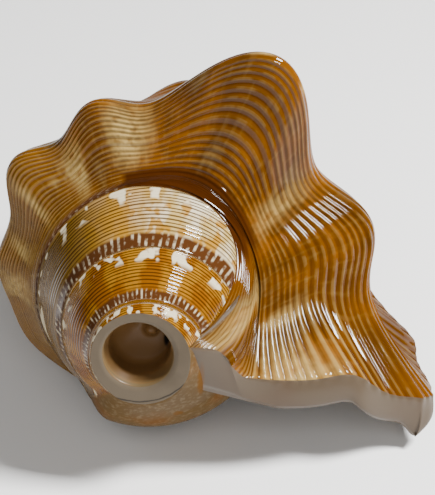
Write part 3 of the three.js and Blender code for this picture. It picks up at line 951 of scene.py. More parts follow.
    def throat_loop(self, share: float, along: np.ndarray) -> np.ndarray:
        """Loop of the throat, from behind the rim at share 0 to its deep end at share 1.

        Args:
            share: place down the throat.
            along: places of the rows.

        Returns:
            The points of the loop.
        """
        turn = self.throat_start - FULL_TURN * self.throat_turns * share ** self.throat_bend
        inside = ease(*self.inside_turns, turn)
        wall = lerp(self.lip_thickness, self.wall, ease(*self.wall_turns, turn))
        shrink = self.form.spire.turn_growth ** (min(0.0, turn + FULL_TURN) / FULL_TURN)
        place = self.throat_place(along, lerp(*self.gather_start, inside), lerp(*self.gather_end, inside))
        normal, _ = self.form.directions(turn, place)
        depth = wall * shrink * self.lip_share(place)
        lip = self.form.points(turn, place) - normal * depth[:, None]
        lip = self.soften(lip, along, 1.0, self.soft_span, self.soft_rows)
        climb = self.climb_height * min((-turn - self.rim_back) / self.climb_turn, 1.0) ** self.climb_bend
        start = self.web_foot + climb + self.late_climb * ease(*self.late_turns, turn)
        drawn = 1.0 - ease(-self.rim_back, -self.lead_end, turn)
        lead = (self.web_turn + self.rim_back) * drawn
        inner = self.inner_points(turn, along, start, lead, 0.5 * self.web_sunk * drawn)
        return self.opening_loop(lip, inner, lerp(*self.meeting, inside))

    def gather(self) -> MeshParts:
        """Gather the cup, ring, outer surface, lip and throat as one closed surface.

        Returns:
            The mesh in the shell frame, in mm.
        """
        mesh = MeshParts()
        turns = self.turns()
        rows = self.rows()
        outer = self.form.points(turns[None, :], rows[:, None])
        rounded = self.soften(outer, rows, self.valley, self.valley_span, self.valley_rows)
        outer = lerp(outer, rounded, ease(*self.valley_turns, turns)[None, :, None])
        outer[0, -1] = outer[0, 0]
        marks = self.skin_marks(turns[None, :], rows[:, None], outer)
        normal, _ = self.form.directions(turns[None, :], rows[:, None])
        outer = outer + normal * self.cord_relief(marks)[..., None]
        numbers = mesh.add_points(outer, marks)
        numbers[0, -1] = numbers[0, 0]
        numbers[-1, -1] = numbers[-1, 0]
        mesh.add_grid(numbers, Part.SKIN)
        self.add_mouth(mesh, numbers[0], outer[0], turns)
        self.add_tip(mesh, numbers[-1], marks[-1])
        self.add_opening(mesh, numbers, rows)
        return mesh

    def add_mouth(self, mesh: MeshParts, edge: np.ndarray, edge_points: np.ndarray,
                  turns: np.ndarray) -> None:
        """Add the mouth cup and the sawn ring inside the saw edge.

        Args:
            mesh: the mesh to add to.
            edge: vertex numbers of the saw edge.
            edge_points: points of the saw edge in mm.
            turns: growth angles of the columns.
        """
        bearing = self.form.lip_bearing - turns + self.form.notch_angle
        cup = self.cup_points(bearing)
        ring = [lerp(cup[-1], edge_points, share) for share in self.ring_shares]
        points = np.concatenate([cup, np.stack(ring)])
        marks = np.zeros(points.shape[:2] + (len(self.mark_names),))
        marks[..., self.mark_names.index("turn")] = turns / FULL_TURN
        marks[..., self.mark_names.index("depth")] = -points[..., 2] / self.depth_unit
        numbers = mesh.add_points(points, marks)
        numbers[:, -1] = numbers[:, 0]
        numbers[0, :] = numbers[0, 0]
        mesh.add_grid(numbers[:len(cup)], Part.CUP)
        mesh.add_grid(np.concatenate([numbers[len(cup) - 1:], edge[None, :]]), Part.RING)

    def add_tip(self, mesh: MeshParts, edge: np.ndarray, marks: np.ndarray) -> None:
        """Close the front end with a small blunt cone.

        Args:
            mesh: the mesh to add to.
            edge: vertex numbers of the front end's last row.
            marks: marks of that row.
        """
        body = self.form.body
        tip = np.array([[0.0, 0.0, body.front_z - body.front_tip]])
        number = mesh.add_points(tip, marks[:1])
        mesh.add_grid(np.stack([edge, np.full_like(edge, number[0])]), Part.SKIN)

    def add_opening(self, mesh: MeshParts, numbers: np.ndarray, rows: np.ndarray) -> None:
        """Add the lip's bevel and the throat, from the lip margin to the capped deep end.

        Args:
            mesh: the mesh to add to.
            numbers: vertex numbers of the outer surface.
            rows: places down the profile.
        """
        margin = np.concatenate([numbers[:, -1], numbers[-2:0:-1, 0]])
        bevel = [self.bevel_loop(share, rows) for share in np.linspace(0.0, 1.0, self.bevel_loops + 1)[1:]]
        throat = [self.throat_loop(share, rows) for share in np.linspace(0.0, 1.0, self.throat_loops)]
        loops = np.stack(bevel + throat)
        places = self.opening_loop(rows[:, None], rows[:, None], 0.0)[:, 0]
        marks = np.zeros(loops.shape[:2] + (len(self.mark_names),))
        marks[..., self.mark_names.index("band")] = places
        marks[..., self.mark_names.index("depth")] = np.linspace(0.0, 1.0, len(loops))[:, None]
        added = np.concatenate([margin[None, :], mesh.add_points(loops, marks)])
        middle = mesh.add_points(loops[-1].mean(axis=0)[None, :], marks[-1, :1])
        added = np.concatenate([added, np.full_like(added[:1], middle[0])])
        closed = np.concatenate([added, added[:, :1]], axis=1)
        mesh.add_grid(closed.T, Part.LIP)

    def build(self) -> bpy.types.Object:
        """Build the shell in the part's frame, worn flat where it touches the floor.

        Returns:
            The shell object, without materials.
        """
        mesh = self.gather()
        points = self.rest.place(np.concatenate(mesh.points))
        points[:, 2] = np.maximum(points[:, 2], 0.0)
        used, quads = np.unique(np.concatenate(mesh.quads), return_inverse=True)
        quads = quads.reshape(-1, 4)
        # At a pole two neighbouring corners are one vertex, and the first of them is left out.
        kept = quads != np.roll(quads, -1, axis=1)
        corners = quads[kept]
        ends = np.cumsum(kept.sum(axis=1))
        data = bpy.data.meshes.new("conch_shell")
        data.vertices.add(len(used))
        data.vertices.foreach_set("co", points[used].astype(np.float32).ravel())
        data.loops.add(len(corners))
        data.loops.foreach_set("vertex_index", corners.astype(np.int32))
        data.polygons.add(len(quads))
        data.polygons.foreach_set("loop_start", np.append(0, ends[:-1]).astype(np.int32))
        data.update(calc_edges=True)
        data.polygons.foreach_set("material_index", np.concatenate(mesh.parts).astype(np.int32))
        data.polygons.foreach_set("use_smooth", np.ones(len(quads), bool))
        marks = np.concatenate(mesh.marks)[used]
        for column, name in enumerate(self.mark_names):
            layer = data.attributes.new(name, "FLOAT", "POINT")
            layer.data.foreach_set("value", np.ascontiguousarray(marks[:, column], dtype=np.float32))
        data.update()
        shell = bpy.data.objects.new("conch_shell", data)
        bpy.context.collection.objects.link(shell)
        return shell


Value = Union["Tone", float]


def paint(code: str) -> Colour:
    """A colour given as six hex digits, as linear red, green and blue."""
    parts = [int(code[place:place + 2], 16) / 255 for place in (0, 2, 4)]
    return tuple(c / 12.92 if c <= 0.04045 else ((c + 0.055) / 1.055) ** 2.4 for c in parts)


@dataclass(frozen=True)
class Tone:
    """A value or colour that varies over the surface, with the tree that works it out."""

    tree: "ToneTree"
    socket: bpy.types.NodeSocket

    def __add__(self, other: Value) -> "Tone":
        """Sum with a value."""
        return self.tree.math("ADD", self, other)

    def __sub__(self, other: Value) -> "Tone":
        """Difference from a value."""
        return self.tree.math("SUBTRACT", self, other)

    def __mul__(self, other: Value) -> "Tone":
        """Product with a value."""
        return self.tree.math("MULTIPLY", self, other)

    def __rsub__(self, other: float) -> "Tone":
        """A number less this value."""
        return self.tree.math("SUBTRACT", other, self)

    def __truediv__(self, other: Value) -> "Tone":
        """Quotient by a value."""
        return self.tree.math("DIVIDE", self, other)

    __radd__ = __add__
    __rmul__ = __mul__


class ToneTree:
    """A node tree whose nodes are written as sums and products of tones."""

    def __init__(self, tree: bpy.types.NodeTree) -> None:
        """Write into a node tree."""
        self.tree = tree

    def node(self, kind: str) -> bpy.types.Node:
        """A new node of a kind, named without the words that all kinds start with."""
        return self.tree.nodes.new("ShaderNode" + kind)

    def set(self, socket: bpy.types.NodeSocket, value: Union[Value, Colour]) -> None:
        """Link a tone to a socket, or set a plain value on it.

        Args:
            socket: the socket of a node.
            value: a tone, a number, or a colour or point of three numbers.
        """
        if isinstance(value, Tone):
            self.tree.links.new(value.socket, socket)
        elif isinstance(value, tuple):
            socket.default_value = value + (1.0,) if socket.type == "RGBA" else value
        else:
            socket.default_value = value

    def math(self, operation: str, a: Value, b: Value = 0.0) -> Tone:
        """A sum, product or other result of two values.

        Args:
            operation: what is worked out.
            a: first value.
            b: second value, where the operation has one.

        Returns:
            The result.
        """
        node = self.node("Math")
        node.operation = operation
        self.set(node.inputs[0], a)
        self.set(node.inputs[1], b)
        return Tone(self, node.outputs[0])

    def mark(self, name: str) -> Tone:
        """A mark stored on the mesh.

        Args:
            name: the mark's name.

        Returns:
            Its value at the shaded point.
        """
        node = self.node("Attribute")
        node.attribute_name = name
        return Tone(self, node.outputs["Fac"])

    def ease(self, start: float, end: float, value: Tone) -> Tone:
        """Smooth step of a value.

        Args:
            start: where the step is 0.
            end: where the step is 1, which may be the smaller.
            value: the value.

        Returns:
            The step, from 0 to 1.
        """
        node = self.node("MapRange")
        node.interpolation_type = "SMOOTHSTEP"
        backward = end < start
        self.set(node.inputs["Value"], value)
        self.set(node.inputs["From Min"], min(start, end))
        self.set(node.inputs["From Max"], max(start, end))
        self.set(node.inputs["To Min"], 1.0 if backward else 0.0)
        self.set(node.inputs["To Max"], 0.0 if backward else 1.0)
        return Tone(self, node.outputs["Result"])

    def bump(self, value: Tone, middle: float, width: float) -> Tone:
        """Bell-like hump of a value about middle, from two smooth steps."""
        return self.ease(middle - width, middle, value) * self.ease(middle + width, middle, value)

    def mix(self, share: Value, a: Union[Tone, Colour], b: Union[Tone, Colour]) -> Tone:
        """Blend of two colours.

        Args:
            share: share of the second colour.
            a: first colour.
            b: second colour.

        Returns:
            The blend.
        """
        node = self.node("Mix")
        node.data_type = "RGBA"
        self.set(node.inputs[0], share)
        self.set(node.inputs[6], a)
        self.set(node.inputs[7], b)
        return Tone(self, node.outputs[2])

    def place(self, x: Value, y: Value, z: Value = 0.0) -> Tone:
        """A point made of three values.

        Args:
            x: first value.
            y: second value.
            z: third value.

        Returns:
            The point.
        """
        node = self.node("CombineXYZ")
        for socket, value in zip(node.inputs, (x, y, z)):
            self.set(socket, value)
        return Tone(self, node.outputs[0])

    def object_place(self) -> Tone:
        """The point in the object's own frame, in metres."""
        return Tone(self, self.node("TexCoord").outputs["Object"])

    def noise(self, place: Tone, scale: float, detail: float = 2.0) -> Tone:
        """Cloudy noise at a point.

        Args:
            place: the point.
            scale: clouds per unit of length.
            detail: how many finer layers of noise are added.

        Returns:
            The noise, from 0 to 1.
        """
        node = self.node("TexNoise")
        self.set(node.inputs["Vector"], place)
        self.set(node.inputs["Scale"], scale)
        self.set(node.inputs["Detail"], detail)
        return Tone(self, node.outputs["Fac"])

    def growth_noise(self, grain: "Grain") -> Tone:
        """Noise that follows the growth marks.

        Args:
            grain: how the noise is stretched.

        Returns:
            The noise, from 0 to 1.
        """
        across = self.mark("turn") * grain.per_turn
        down = self.mark("band") * grain.per_band + grain.shift
        return self.noise(self.place(across, down), 1.0, grain.detail)

    def vector_math(self, operation: str, a: Tone, b: Tone) -> Tone:
        """A point worked out from two points, part by part.

        Args:
            operation: what is worked out.
            a: first point.
            b: second point.

        Returns:
            The resulting point.
        """
        node = self.node("VectorMath")
        node.operation = operation
        self.set(node.inputs[0], a)
        self.set(node.inputs[1], b)
        return Tone(self, node.outputs["Vector"])

    def length(self, point: Tone) -> Tone:
        """Distance of a point from zero.

        Args:
            point: the point.

        Returns:
            The distance.
        """
        node = self.node("VectorMath")
        node.operation = "LENGTH"
        self.set(node.inputs[0], point)
        return Tone(self, node.outputs["Value"])

    def effect(self, group: bpy.types.NodeTree, values: dict[str, Union[Value, Colour]]) -> Tone:
        """Place a shared effect in this tree.

        Args:
            group: the effect's node group.
            values: its inputs by name.

        Returns:
            What the effect puts out.
        """
        node = self.node("Group")
        node.node_tree = group
        for name, value in values.items():
            self.set(node.inputs[name], value)
        return Tone(self, node.outputs[0])


class SocketKind(Enum):
    """Kinds of sockets that a shared effect takes in and puts out."""

    VALUE = "NodeSocketFloat"
    POINT = "NodeSocketVector"
    COLOUR = "NodeSocketColor"


class EffectTree(ToneTree):
    """A node group for an effect that several materials share."""

    def __init__(self, name: str, inputs: dict[str, SocketKind]) -> None:
        """Start a group.

        Args:
            name: the group's name.
            inputs: kinds of its inputs by name.
        """
        super().__init__(bpy.data.node_groups.new(name, "ShaderNodeTree"))
        for label, kind in inputs.items():
            self.tree.interface.new_socket(label, in_out="INPUT", socket_type=kind.value)
        self.entry = self.tree.nodes.new("NodeGroupInput")

    def given(self, *labels: str) -> list[Tone]:
        """Some of the inputs."""
        return [Tone(self, self.entry.outputs[label]) for label in labels]

    def close(self, label: str, kind: SocketKind, tone: Tone) -> bpy.types.NodeTree:
        """End the group with its output.

        Args:
            label: name of the output.
            kind: its kind.
            tone: what it puts out.

        Returns:
            The group.
        """
        self.tree.interface.new_socket(label, in_out="OUTPUT", socket_type=kind.value)
        self.set(self.tree.nodes.new("NodeGroupOutput").inputs[label], tone)
        return self.tree


class Effects:
    """The effects that several materials share, each built once."""

    STAIN_NOISE = 400.0
    CLOUDS = 90.0
    CLOUD_LAYERS = 4.0
    CLOUD_STEP = (0.4, 0.75)
    SWIRLS_PER_TURN = 4.0
    SWIRLS_PER_DEPTH = 12.0
    SWIRL_LAYERS = 3.0
    SWIRL_STEP = (0.5, 0.62)

    @staticmethod
    def stain_distance() -> bpy.types.NodeTree:
        """Ragged distance from the middle of a stain, in half sizes of its ellipsoid.

        The point less the middle, divided by the half sizes, has length 1 on the ellipsoid. Noise is
        added to the length.

        Returns:
            The group, which puts out the distance.
        """
        name = "stain_distance"
        if name in bpy.data.node_groups:
            return bpy.data.node_groups[name]
        points = {label: SocketKind.POINT for label in ("Place", "Middle", "Reach")}
        group = EffectTree(name, {**points, "Raggedness": SocketKind.VALUE})
        place, middle, reach, raggedness = group.given(*points, "Raggedness")
        moved = group.vector_math("SUBTRACT", place, middle)
        length = group.length(group.vector_math("DIVIDE", moved, reach))
        ragged = (group.noise(place, Effects.STAIN_NOISE) - 0.5) * raggedness
        return group.close("Distance", SocketKind.VALUE, length + ragged)

    @staticmethod
    def clouded_depth() -> bpy.types.NodeTree:
        """A colour that goes over into a deep one with depth, with clouds and swirl lines of the deep one.

        Returns:
            The group, which puts out the colour.
        """
        name = "clouded_depth"
        if name in bpy.data.node_groups:
            return bpy.data.node_groups[name]
        values = {label: SocketKind.VALUE for label in ("Turn", "Depth", "Deep At", "Cloud", "Swirls")}
        colours = {"Colour": SocketKind.COLOUR, "Deep": SocketKind.COLOUR}
        group = EffectTree(name, {"Place": SocketKind.POINT, **colours, **values})
        place, colour, deep = group.given("Place", "Colour", "Deep")
        turn, depth, deep_at, cloud, swirls = group.given(*values)
        colour = group.mix(group.ease(0.0, 1.0, depth / deep_at), colour, deep)
        clouds = group.noise(place, Effects.CLOUDS, Effects.CLOUD_LAYERS)
        colour = group.mix(group.ease(*Effects.CLOUD_STEP, clouds) * cloud, colour, deep)
        swirl_place = group.place(turn * Effects.SWIRLS_PER_TURN, depth * Effects.SWIRLS_PER_DEPTH)
        ripple = group.noise(swirl_place, 1.0, Effects.SWIRL_LAYERS)
        colour = group.mix(group.ease(*Effects.SWIRL_STEP, ripple) * swirls, colour, deep)
        return group.close("Colour", SocketKind.COLOUR, colour)


class MaterialTree(ToneTree):
    """A material with stains and one glossy shader."""

    def __init__(self, name: str) -> None:
        """Start an empty material.

        Args:
            name: the material's name.
        """
        self.material = bpy.data.materials.new(name)
        self.material.use_nodes = True
        super().__init__(self.material.node_tree)
        self.tree.nodes.clear()

    def stained(self, colour: Tone, spots: tuple["Spot", ...]) -> Tone:
        """A colour with some spots laid over it.

        Args:
            colour: the colour below.
            spots: the spots.

        Returns:
            The stained colour.
        """
        for spot in spots:
            distance = self.effect(Effects.stain_distance(), {
                "Place": self.object_place(),
                "Middle": tuple(value * MILLIMETRE for value in spot.middle),
                "Reach": tuple(value * MILLIMETRE for value in spot.reach),
                "Raggedness": spot.raggedness,
            })
            filled = spot.rim == 0.0
            share = self.ease(1.0, spot.solid, distance) if filled else self.bump(distance, 1.0, spot.rim)
            colour = self.mix(share * spot.strength, colour, spot.colour)
        return colour

    def finish(self, colour: Union[Tone, Colour], gloss: "Gloss", height: Union[Tone, None] = None,
               lift: float = 0.0, polish: Value = 1.0) -> bpy.types.Material:
        """Close the material with one glossy shader.

        Args:
            colour: base colour.
            gloss: how it shines.
            height: relief from 0 to 1, if any.
            lift: height of the relief in metres.
            polish: share of the clear coat that is left.

        Returns:
            The material.
        """
        shader = self.node("BsdfPrincipled")
        output = self.node("OutputMaterial")
        self.set(shader.inputs["Base Color"], colour)
        shader.inputs["Roughness"].default_value = gloss.roughness
        self.set(shader.inputs["Coat Weight"], polish * gloss.coat)
        shader.inputs["Coat IOR"].default_value = gloss.coat_index
        shader.inputs["Coat Roughness"].default_value = gloss.coat_roughness
        shader.inputs["Specular IOR Level"].default_value = gloss.shine
        if height is not None:
            relief = self.node("Bump")
            relief.inputs["Strength"].default_value = 1.0
            relief.inputs["Distance"].default_value = lift
            self.set(relief.inputs["Height"], height)
            self.tree.links.new(relief.outputs["Normal"], shader.inputs["Normal"])
            self.tree.links.new(relief.outputs["Normal"], shader.inputs["Coat Normal"])
        self.tree.links.new(shader.outputs[0], output.inputs["Surface"])
        return self.material


@dataclass(frozen=True)
class Gloss:
    """How a finish shines: roughness and mirror strength below, and the clear coat over it."""

    roughness: float
    coat: float
    coat_roughness: float
    shine: float = 0.2
    coat_index: float = 1.35


@dataclass(frozen=True)
class Spot:
    """A stain about a point of the object, in mm: filled, or only a thin rim of its ellipsoid."""

    middle: Point
    reach: Point
    colour: Colour
    strength: float = 0.8
    raggedness: float = 0.6
    rim: float = 0.0
    solid: float = 0.4


ORANGE_STAIN = paint("583708")
STAINS = (
    Spot((-1.7, -65.9, 31.5), (1.1, 6.0, 7.0), ORANGE_STAIN),
    Spot((-7.2, -65.1, 20.2), (1.6, 4.0, 1.6), ORANGE_STAIN),
)
CRACK = Spot((-16.6, -68.1, 41.87), (14.1, 14.1, 14.1), paint("120c06"), 0.85, 0.05, 0.022)
# Near-black spot on the deep end of the mouth cup's floor: painted shade.
SHADED_GAP = Spot((-10.6, -57.0, 36.6), (1.0, 3.5, 2.6), paint("0a0603"), 1.0, 0.5)


@dataclass(frozen=True)
class Grain:
    """Noise along the growth: its clouds per turn and per band, its finer layers and its start."""

    per_turn: float
    per_band: float
    detail: float
    shift: float = 0.0


@dataclass(frozen=True)
class Patch:
    """A patch of the skin: the growth angle and band of its middle, and how far it reaches."""

    turn: float
    band: float
    length: float
    breadth: float
    strength: float = 1.0


@dataclass(frozen=True)
class SkinFinish:
    """The polished outer skin: amber and brown with cream patches, spiral lines and cords."""

    # Colours.
    amber: Colour = paint("6e3f03")
    caramel: Colour = paint("452602")
    olive: Colour = paint("5e440d")
    cream: Colour = paint("a98f55")
    straw: Colour = paint("976a18")
    dark: Colour = paint("1b0e02")
    groove: Colour = paint("331801")
    red_brown: Colour = paint("331602")
    plum: Colour = paint("43260f")
    white: Colour = paint("cabd9f")
    callus: Colour = paint("503e26")
    stain: Colour = paint("63360a")
    # Lines for each band, pleats for each turn, depth of relief in metres, and gloss.
    whorl_lines: float = 17.0
    pleats: float = 84.0
    relief: float = 0.0002
    dulling: float = 0.8
    gloss: Gloss = Gloss(0.4, 0.8, 0.05, 0.0)
    # Noise along the growth, and clouds and grain for each metre.
    streaks: Grain = Grain(26.0, 1.4, 3.0)
    flecks: Grain = Grain(90.0, 9.0, 2.0)
    growth_lines: Grain = Grain(220.0, 6.0, 1.0)
    pleat_blots: Grain = Grain(60.0, 8.0, 2.0)
    coil_streaks: Grain = Grain(24.0, 1.5, 3.0)
    coil_blots: Grain = Grain(34.0, 3.0, 2.0, 7.0)
    thread_bend: Grain = Grain(14.0, 4.0, 2.0)
    line_wear: Grain = Grain(40.0, 12.0, 1.0)
    body_clouds: float = 55.0
    callus_clouds: float = 80.0
    callus_grain: float = 900.0
    # Raggedness of the patches in turns, and the most of their paleness.
    patch_raggedness: float = 0.05
    most_pale: float = 0.85
    # Zones: sides in turns grown, bands in places, and the big knob by its mark.
    older_side: Span = (-0.34, -0.48)
    left_side: Span = (-0.3, -0.4)
    wing: Span = (-0.15, -0.09)
    lip_side: Span = (-0.08, -0.01)
    lip_top: Span = (0.12, 0.25)
    lip_foot: Span = (0.8, 0.6)
    cord_band: Span = (0.12, 0.22)
    flank: Span = (0.98, 1.1)
    pale_fade: Span = (0.95, 1.2)
    groove_fade: Span = (1.02, 1.2)
    big_knob: Span = (0.7, 1.6)
    smooth_band: Span = (0.34, 0.25)
    smooth_start: Span = (-0.335, -0.325)
    smooth_end: Span = (-0.1, -0.15)
    narrow_band: Span = (0.19, 0.13)
    last_whorl: Span = (-1.16, -1.0)
    straw_side: Span = (-0.25, -0.34)
    olive_side: Span = (-0.33, -0.42)
    blotch_band: Span = (0.66, 0.8)
    pleat_band: Span = (0.24, 0.18)
    thread_band: Span = (0.2, 0.28)
    # Patches of the body whorl and the wing.
    pale_and_highlight_patches: tuple[Patch, ...] = (
        Patch(-115.0, 0.66, 10.0, 0.45),
        Patch(-138.0, 0.5, 6.0, 0.45, 0.8),
        Patch(-160.0, 0.55, 5.0, 0.45, 0.6),
        Patch(-178.0, 0.6, 6.0, 0.45, 0.6),
        Patch(-195.0, 0.6, 6.0, 0.45, 0.6),
        Patch(-54.0, 0.56, 8.0, 0.4, 0.45),
        Patch(-1.0, 0.38, 9.0, 0.26, 0.75),
        Patch(-16.0, 0.36, 5.0, 0.22, 0.7),
        # Pale on the web at the lip's root: partly a pale streak, partly painted highlight.
        Patch(-26.0, 0.1, 7.0, 0.15, 0.6),
        Patch(-84.0, 0.97, 3.0, 0.05, 1.2),
        Patch(-75.0, 0.96, 4.0, 0.06, 0.8),
    )
    brown_and_shade_patches: tuple[Patch, ...] = (
        Patch(-38.0, 0.36, 9.0, 0.5, 1.0),
        Patch(-8.0, 0.82, 14.0, 0.3, 1.0),
        # Darker brown on the side of the knob at -35 degrees: painted shade.
        Patch(-8.0, 0.12, 6.0, 0.18, 0.8),
        Patch(-33.0, 0.9, 9.0, 0.18, 1.0),
        Patch(-10.0, 1.25, 26.0, 0.35, 1.0),
        Patch(-80.0, 0.72, 14.0, 0.34, 0.8),
        Patch(-98.0, 0.35, 12.0, 0.2, 0.4),
        Patch(-128.0, 0.85, 6.0, 0.2, 0.6),
        Patch(-150.0, 0.5, 5.0, 0.4, 0.5),
    )

    def spread(self, tree: MaterialTree, patches: tuple[Patch, ...], turn: Tone, band: Tone) -> Tone:
        """Share of the skin that some patches cover.

        Args:
            tree: the material's tree.
            patches: the patches.
            turn: growth mark of the skin, in turns.
            band: band mark of the skin.

        Returns:
            The share from 0 to about 1.
        """
        total = None
        for patch in patches:
            along = tree.bump(turn, patch.turn / FULL_TURN, patch.length / FULL_TURN)
            share = along * tree.bump(band, patch.band, patch.breadth) * patch.strength
            total = share if total is None else total + share
        return total

    def body(self, tree: MaterialTree, groove: Tone, crest: Tone) -> Tone:
        """Colour of the body whorl and the wing.

        Args:
            tree: the material's tree.
            groove: share of the grooves between the cords.
            crest: share of the cords' crests.

        Returns:
            The colour.
        """
        turn, band, knob = tree.mark("turn"), tree.mark("band"), tree.mark("knob")
        streak = tree.growth_noise(self.streaks)
        fine = tree.growth_noise(self.flecks)
        cloud = tree.noise(tree.object_place(), self.body_clouds, 3.0)
        # Amber clouded with caramel, and olive on the older side.
        ground = tree.mix(tree.ease(0.34, 0.66, cloud * 0.5 + streak * 0.5), self.amber, self.caramel)
        ground = tree.mix(tree.ease(*self.older_side, turn) * 0.55, ground, self.olive)
        # Brown and pale patches with ragged edges. The brown patch on the side of the knob at -35 degrees is
        # painted shade, and the pale patch on the web at -26 degrees is partly painted highlight.
        ragged = turn + (streak - 0.5) * self.patch_raggedness
        brown = self.spread(tree, self.brown_and_shade_patches, ragged, band)
        ground = tree.mix(tree.math("MINIMUM", brown, 1.0), ground, self.caramel)
        pale = self.spread(tree, self.pale_and_highlight_patches, ragged, band) + tree.ease(0.58, 0.72, streak) * 0.35
        pale = pale * tree.ease(0.2, 0.55, fine) * (1.0 - tree.ease(*self.pale_fade, band) * 0.4)
        ground = tree.mix(tree.math("MINIMUM", pale, self.most_pale), ground, self.cream)
        # Pale crests and dark grooves of the cords, strongest beside the lip and weak on the big knob. The
        # pale crests are partly the cords' own pale ridges and partly painted highlight on the ridges.
        near_lip = tree.ease(*self.lip_side, turn) * tree.ease(*self.lip_foot, band)
        near_lip = near_lip * tree.ease(*self.lip_top, band)
        left = tree.ease(*self.left_side, turn)
        # worn is the patchy share of the crests that are painted pale: pale ridges and painted highlight
        # together.
        worn = tree.ease(0.4, 0.65, fine) * 0.16 + 0.02
        ground = tree.mix(crest * (near_lip * 0.3 + worn + left * 0.12), ground, self.cream)
        lines = groove * (1.0 - tree.ease(*self.big_knob, knob) * 0.8) * (0.5 + near_lip * 0.35 - left * 0.2)
        lines = lines * (1.0 - tree.ease(*self.groove_fade, band) * 0.4)
        lines = lines * (0.4 + tree.ease(0.3, 0.6, cloud) * 0.6)
        ground = tree.mix(lines, ground, self.groove)
        # Caramel flecks, red-brown streaks and faint growth lines.
        ground = tree.mix(tree.ease(0.48, 0.68, fine) * 0.4, ground, self.caramel)
        ground = tree.mix(tree.ease(0.52, 0.7, streak) * (1.0 - left) * 0.45, ground, self.red_brown)
        growth = tree.growth_noise(self.growth_lines)
        ground = tree.mix(tree.ease(0.5, 0.8, growth) * 0.06, ground, self.cream)
        # Beside the suture a plain red-brown band, and a narrow pleated one on the older side.
        smooth = tree.ease(*self.smooth_band, band + (cloud - 0.5) * 0.06)
        bare = tree.ease(*self.smooth_start, turn)
        narrow = tree.ease(*self.narrow_band, band + (cloud - 0.5) * 0.04)
        edge = tree.mix(self.pleat_marks(tree) * 0.4, self.plum, self.white)
        ground = tree.mix(narrow * (1.0 - bare), ground, edge)
        smooth = smooth * bare * tree.ease(*self.smooth_end, turn)
        return tree.mix(smooth * 0.95, ground, self.red_brown)

    def pleat_marks(self, tree: MaterialTree) -> Tone:
        """Share of the short pale marks that cross the pleated bands beside the sutures.

        Args:
            tree: the material's tree.

        Returns:
            The share: crests of a sine of the growth, broken up by noise.
        """
        wave = tree.math("SINE", tree.mark("turn") * (CIRCLE * self.pleats))
        blot = tree.growth_noise(self.pleat_blots)
        return tree.ease(-0.2, 0.9, wave) * tree.ease(0.42, 0.66, blot) * 0.6

    def coil(self, tree: MaterialTree, line: Tone) -> Tone:
        """Colour of the spire's whorls.

        Args:
            tree: the material's tree.
            line: share of the thin spiral lines.

        Returns:
            The colour.
        """
        turn, band = tree.mark("turn"), tree.mark("band")
        streak = tree.growth_noise(self.coil_streaks)
        blot = tree.growth_noise(self.coil_blots)
        # Straw and amber on the old whorls, cream and white with straw spots on the last one.
        young = tree.ease(*self.last_whorl, turn)
        ground = tree.mix(tree.ease(0.42, 0.6, streak), self.straw, self.amber)
        pale = tree.mix(tree.ease(0.4, 0.6, streak), self.white, self.cream)
        spotted = tree.ease(*self.straw_side, turn) * 0.8 + tree.ease(0.5, 0.58, blot) * 0.9
        pale = tree.mix(tree.math("MINIMUM", spotted, 0.9), pale, self.straw)
        pale = tree.mix(tree.ease(*self.olive_side, turn) * 0.9, pale, self.olive)
        ground = tree.mix(young, tree.mix(0.35, ground, self.amber), pale)
        # Thin dark lines, white blotches low on each whorl and pleats at its upper suture.
        ground = tree.mix(line * 0.85, ground, tree.mix(0.6, self.caramel, self.dark))
        blotches = tree.ease(*self.blotch_band, band) * tree.ease(0.52, 0.58, blot)
        ground = tree.mix(blotches, ground, self.white)
        pleated = tree.ease(*self.pleat_band, band + (blot - 0.5) * 0.06)
        return tree.mix(pleated, ground, tree.mix(self.pleat_marks(tree), self.plum, self.white))

    def material(self) -> bpy.types.Material:
        """The skin material, coloured along the growth marks.

        The cords are a sine of the cord mark and the spire's threads a sine of the band, roughened by
        noise.

        Returns:
            The material.
        """
        tree = MaterialTree("shell_skin")
        turn, band, spire = tree.mark("turn"), tree.mark("band"), tree.mark("spire")
        callus = tree.mark("callus")
        bend = tree.growth_noise(self.thread_bend)
        wear = tree.growth_noise(self.line_wear)
        uneven = tree.noise(tree.place(band * 7.0, turn * 2.0), 1.0, 1.0)
        swayed = band + (bend - 0.5) * 0.02 + (uneven - 0.5) * 0.05
        wave = tree.math("SINE", tree.mark("cord") * CIRCLE)
        corded = tree.math("MAXIMUM", tree.ease(*self.cord_band, band), tree.ease(*self.wing, turn))
        groove = tree.ease(-0.5, -0.95, wave + (wear - 0.5) * 0.8) * corded
        crest = tree.ease(0.0, 0.9, wave) * corded
        thread = tree.math("SINE", swayed * (CIRCLE * self.whorl_lines))
        threaded = tree.ease(*self.thread_band, band)
        line = tree.ease(0.1, 0.5, thread + (wear - 0.5) * 0.5) * threaded
        skin = tree.mix(spire, self.body(tree, groove, crest), self.coil(tree, line))
        cloud = tree.noise(tree.object_place(), self.callus_clouds, 3.0)
        grain = tree.noise(tree.object_place(), self.callus_grain, 2.0)
        inner_lip = tree.mix(tree.ease(0.45, 0.7, cloud) * 0.4, self.callus, self.stain)
        inner_lip = tree.mix(tree.ease(0.45, 0.8, grain) * 0.08, inner_lip, self.white)
        skin = tree.mix(callus, skin, tree.stained(inner_lip, STAINS))
        flank = tree.ease(*self.flank, band) * (1.0 - spire)
        cords = (wave * 0.5 + 0.5) * corded * (1.0 - spire) * (1.0 - flank * 0.6) * 0.6
        threads = (0.5 - thread * 0.5) * threaded * spire * 0.35
        height = (cords + threads) * (1.0 - callus)
        polish = (1.0 - callus * self.dulling) * (1.0 - flank * self.dulling)
        return tree.finish(skin, self.gloss, height, self.relief, polish)


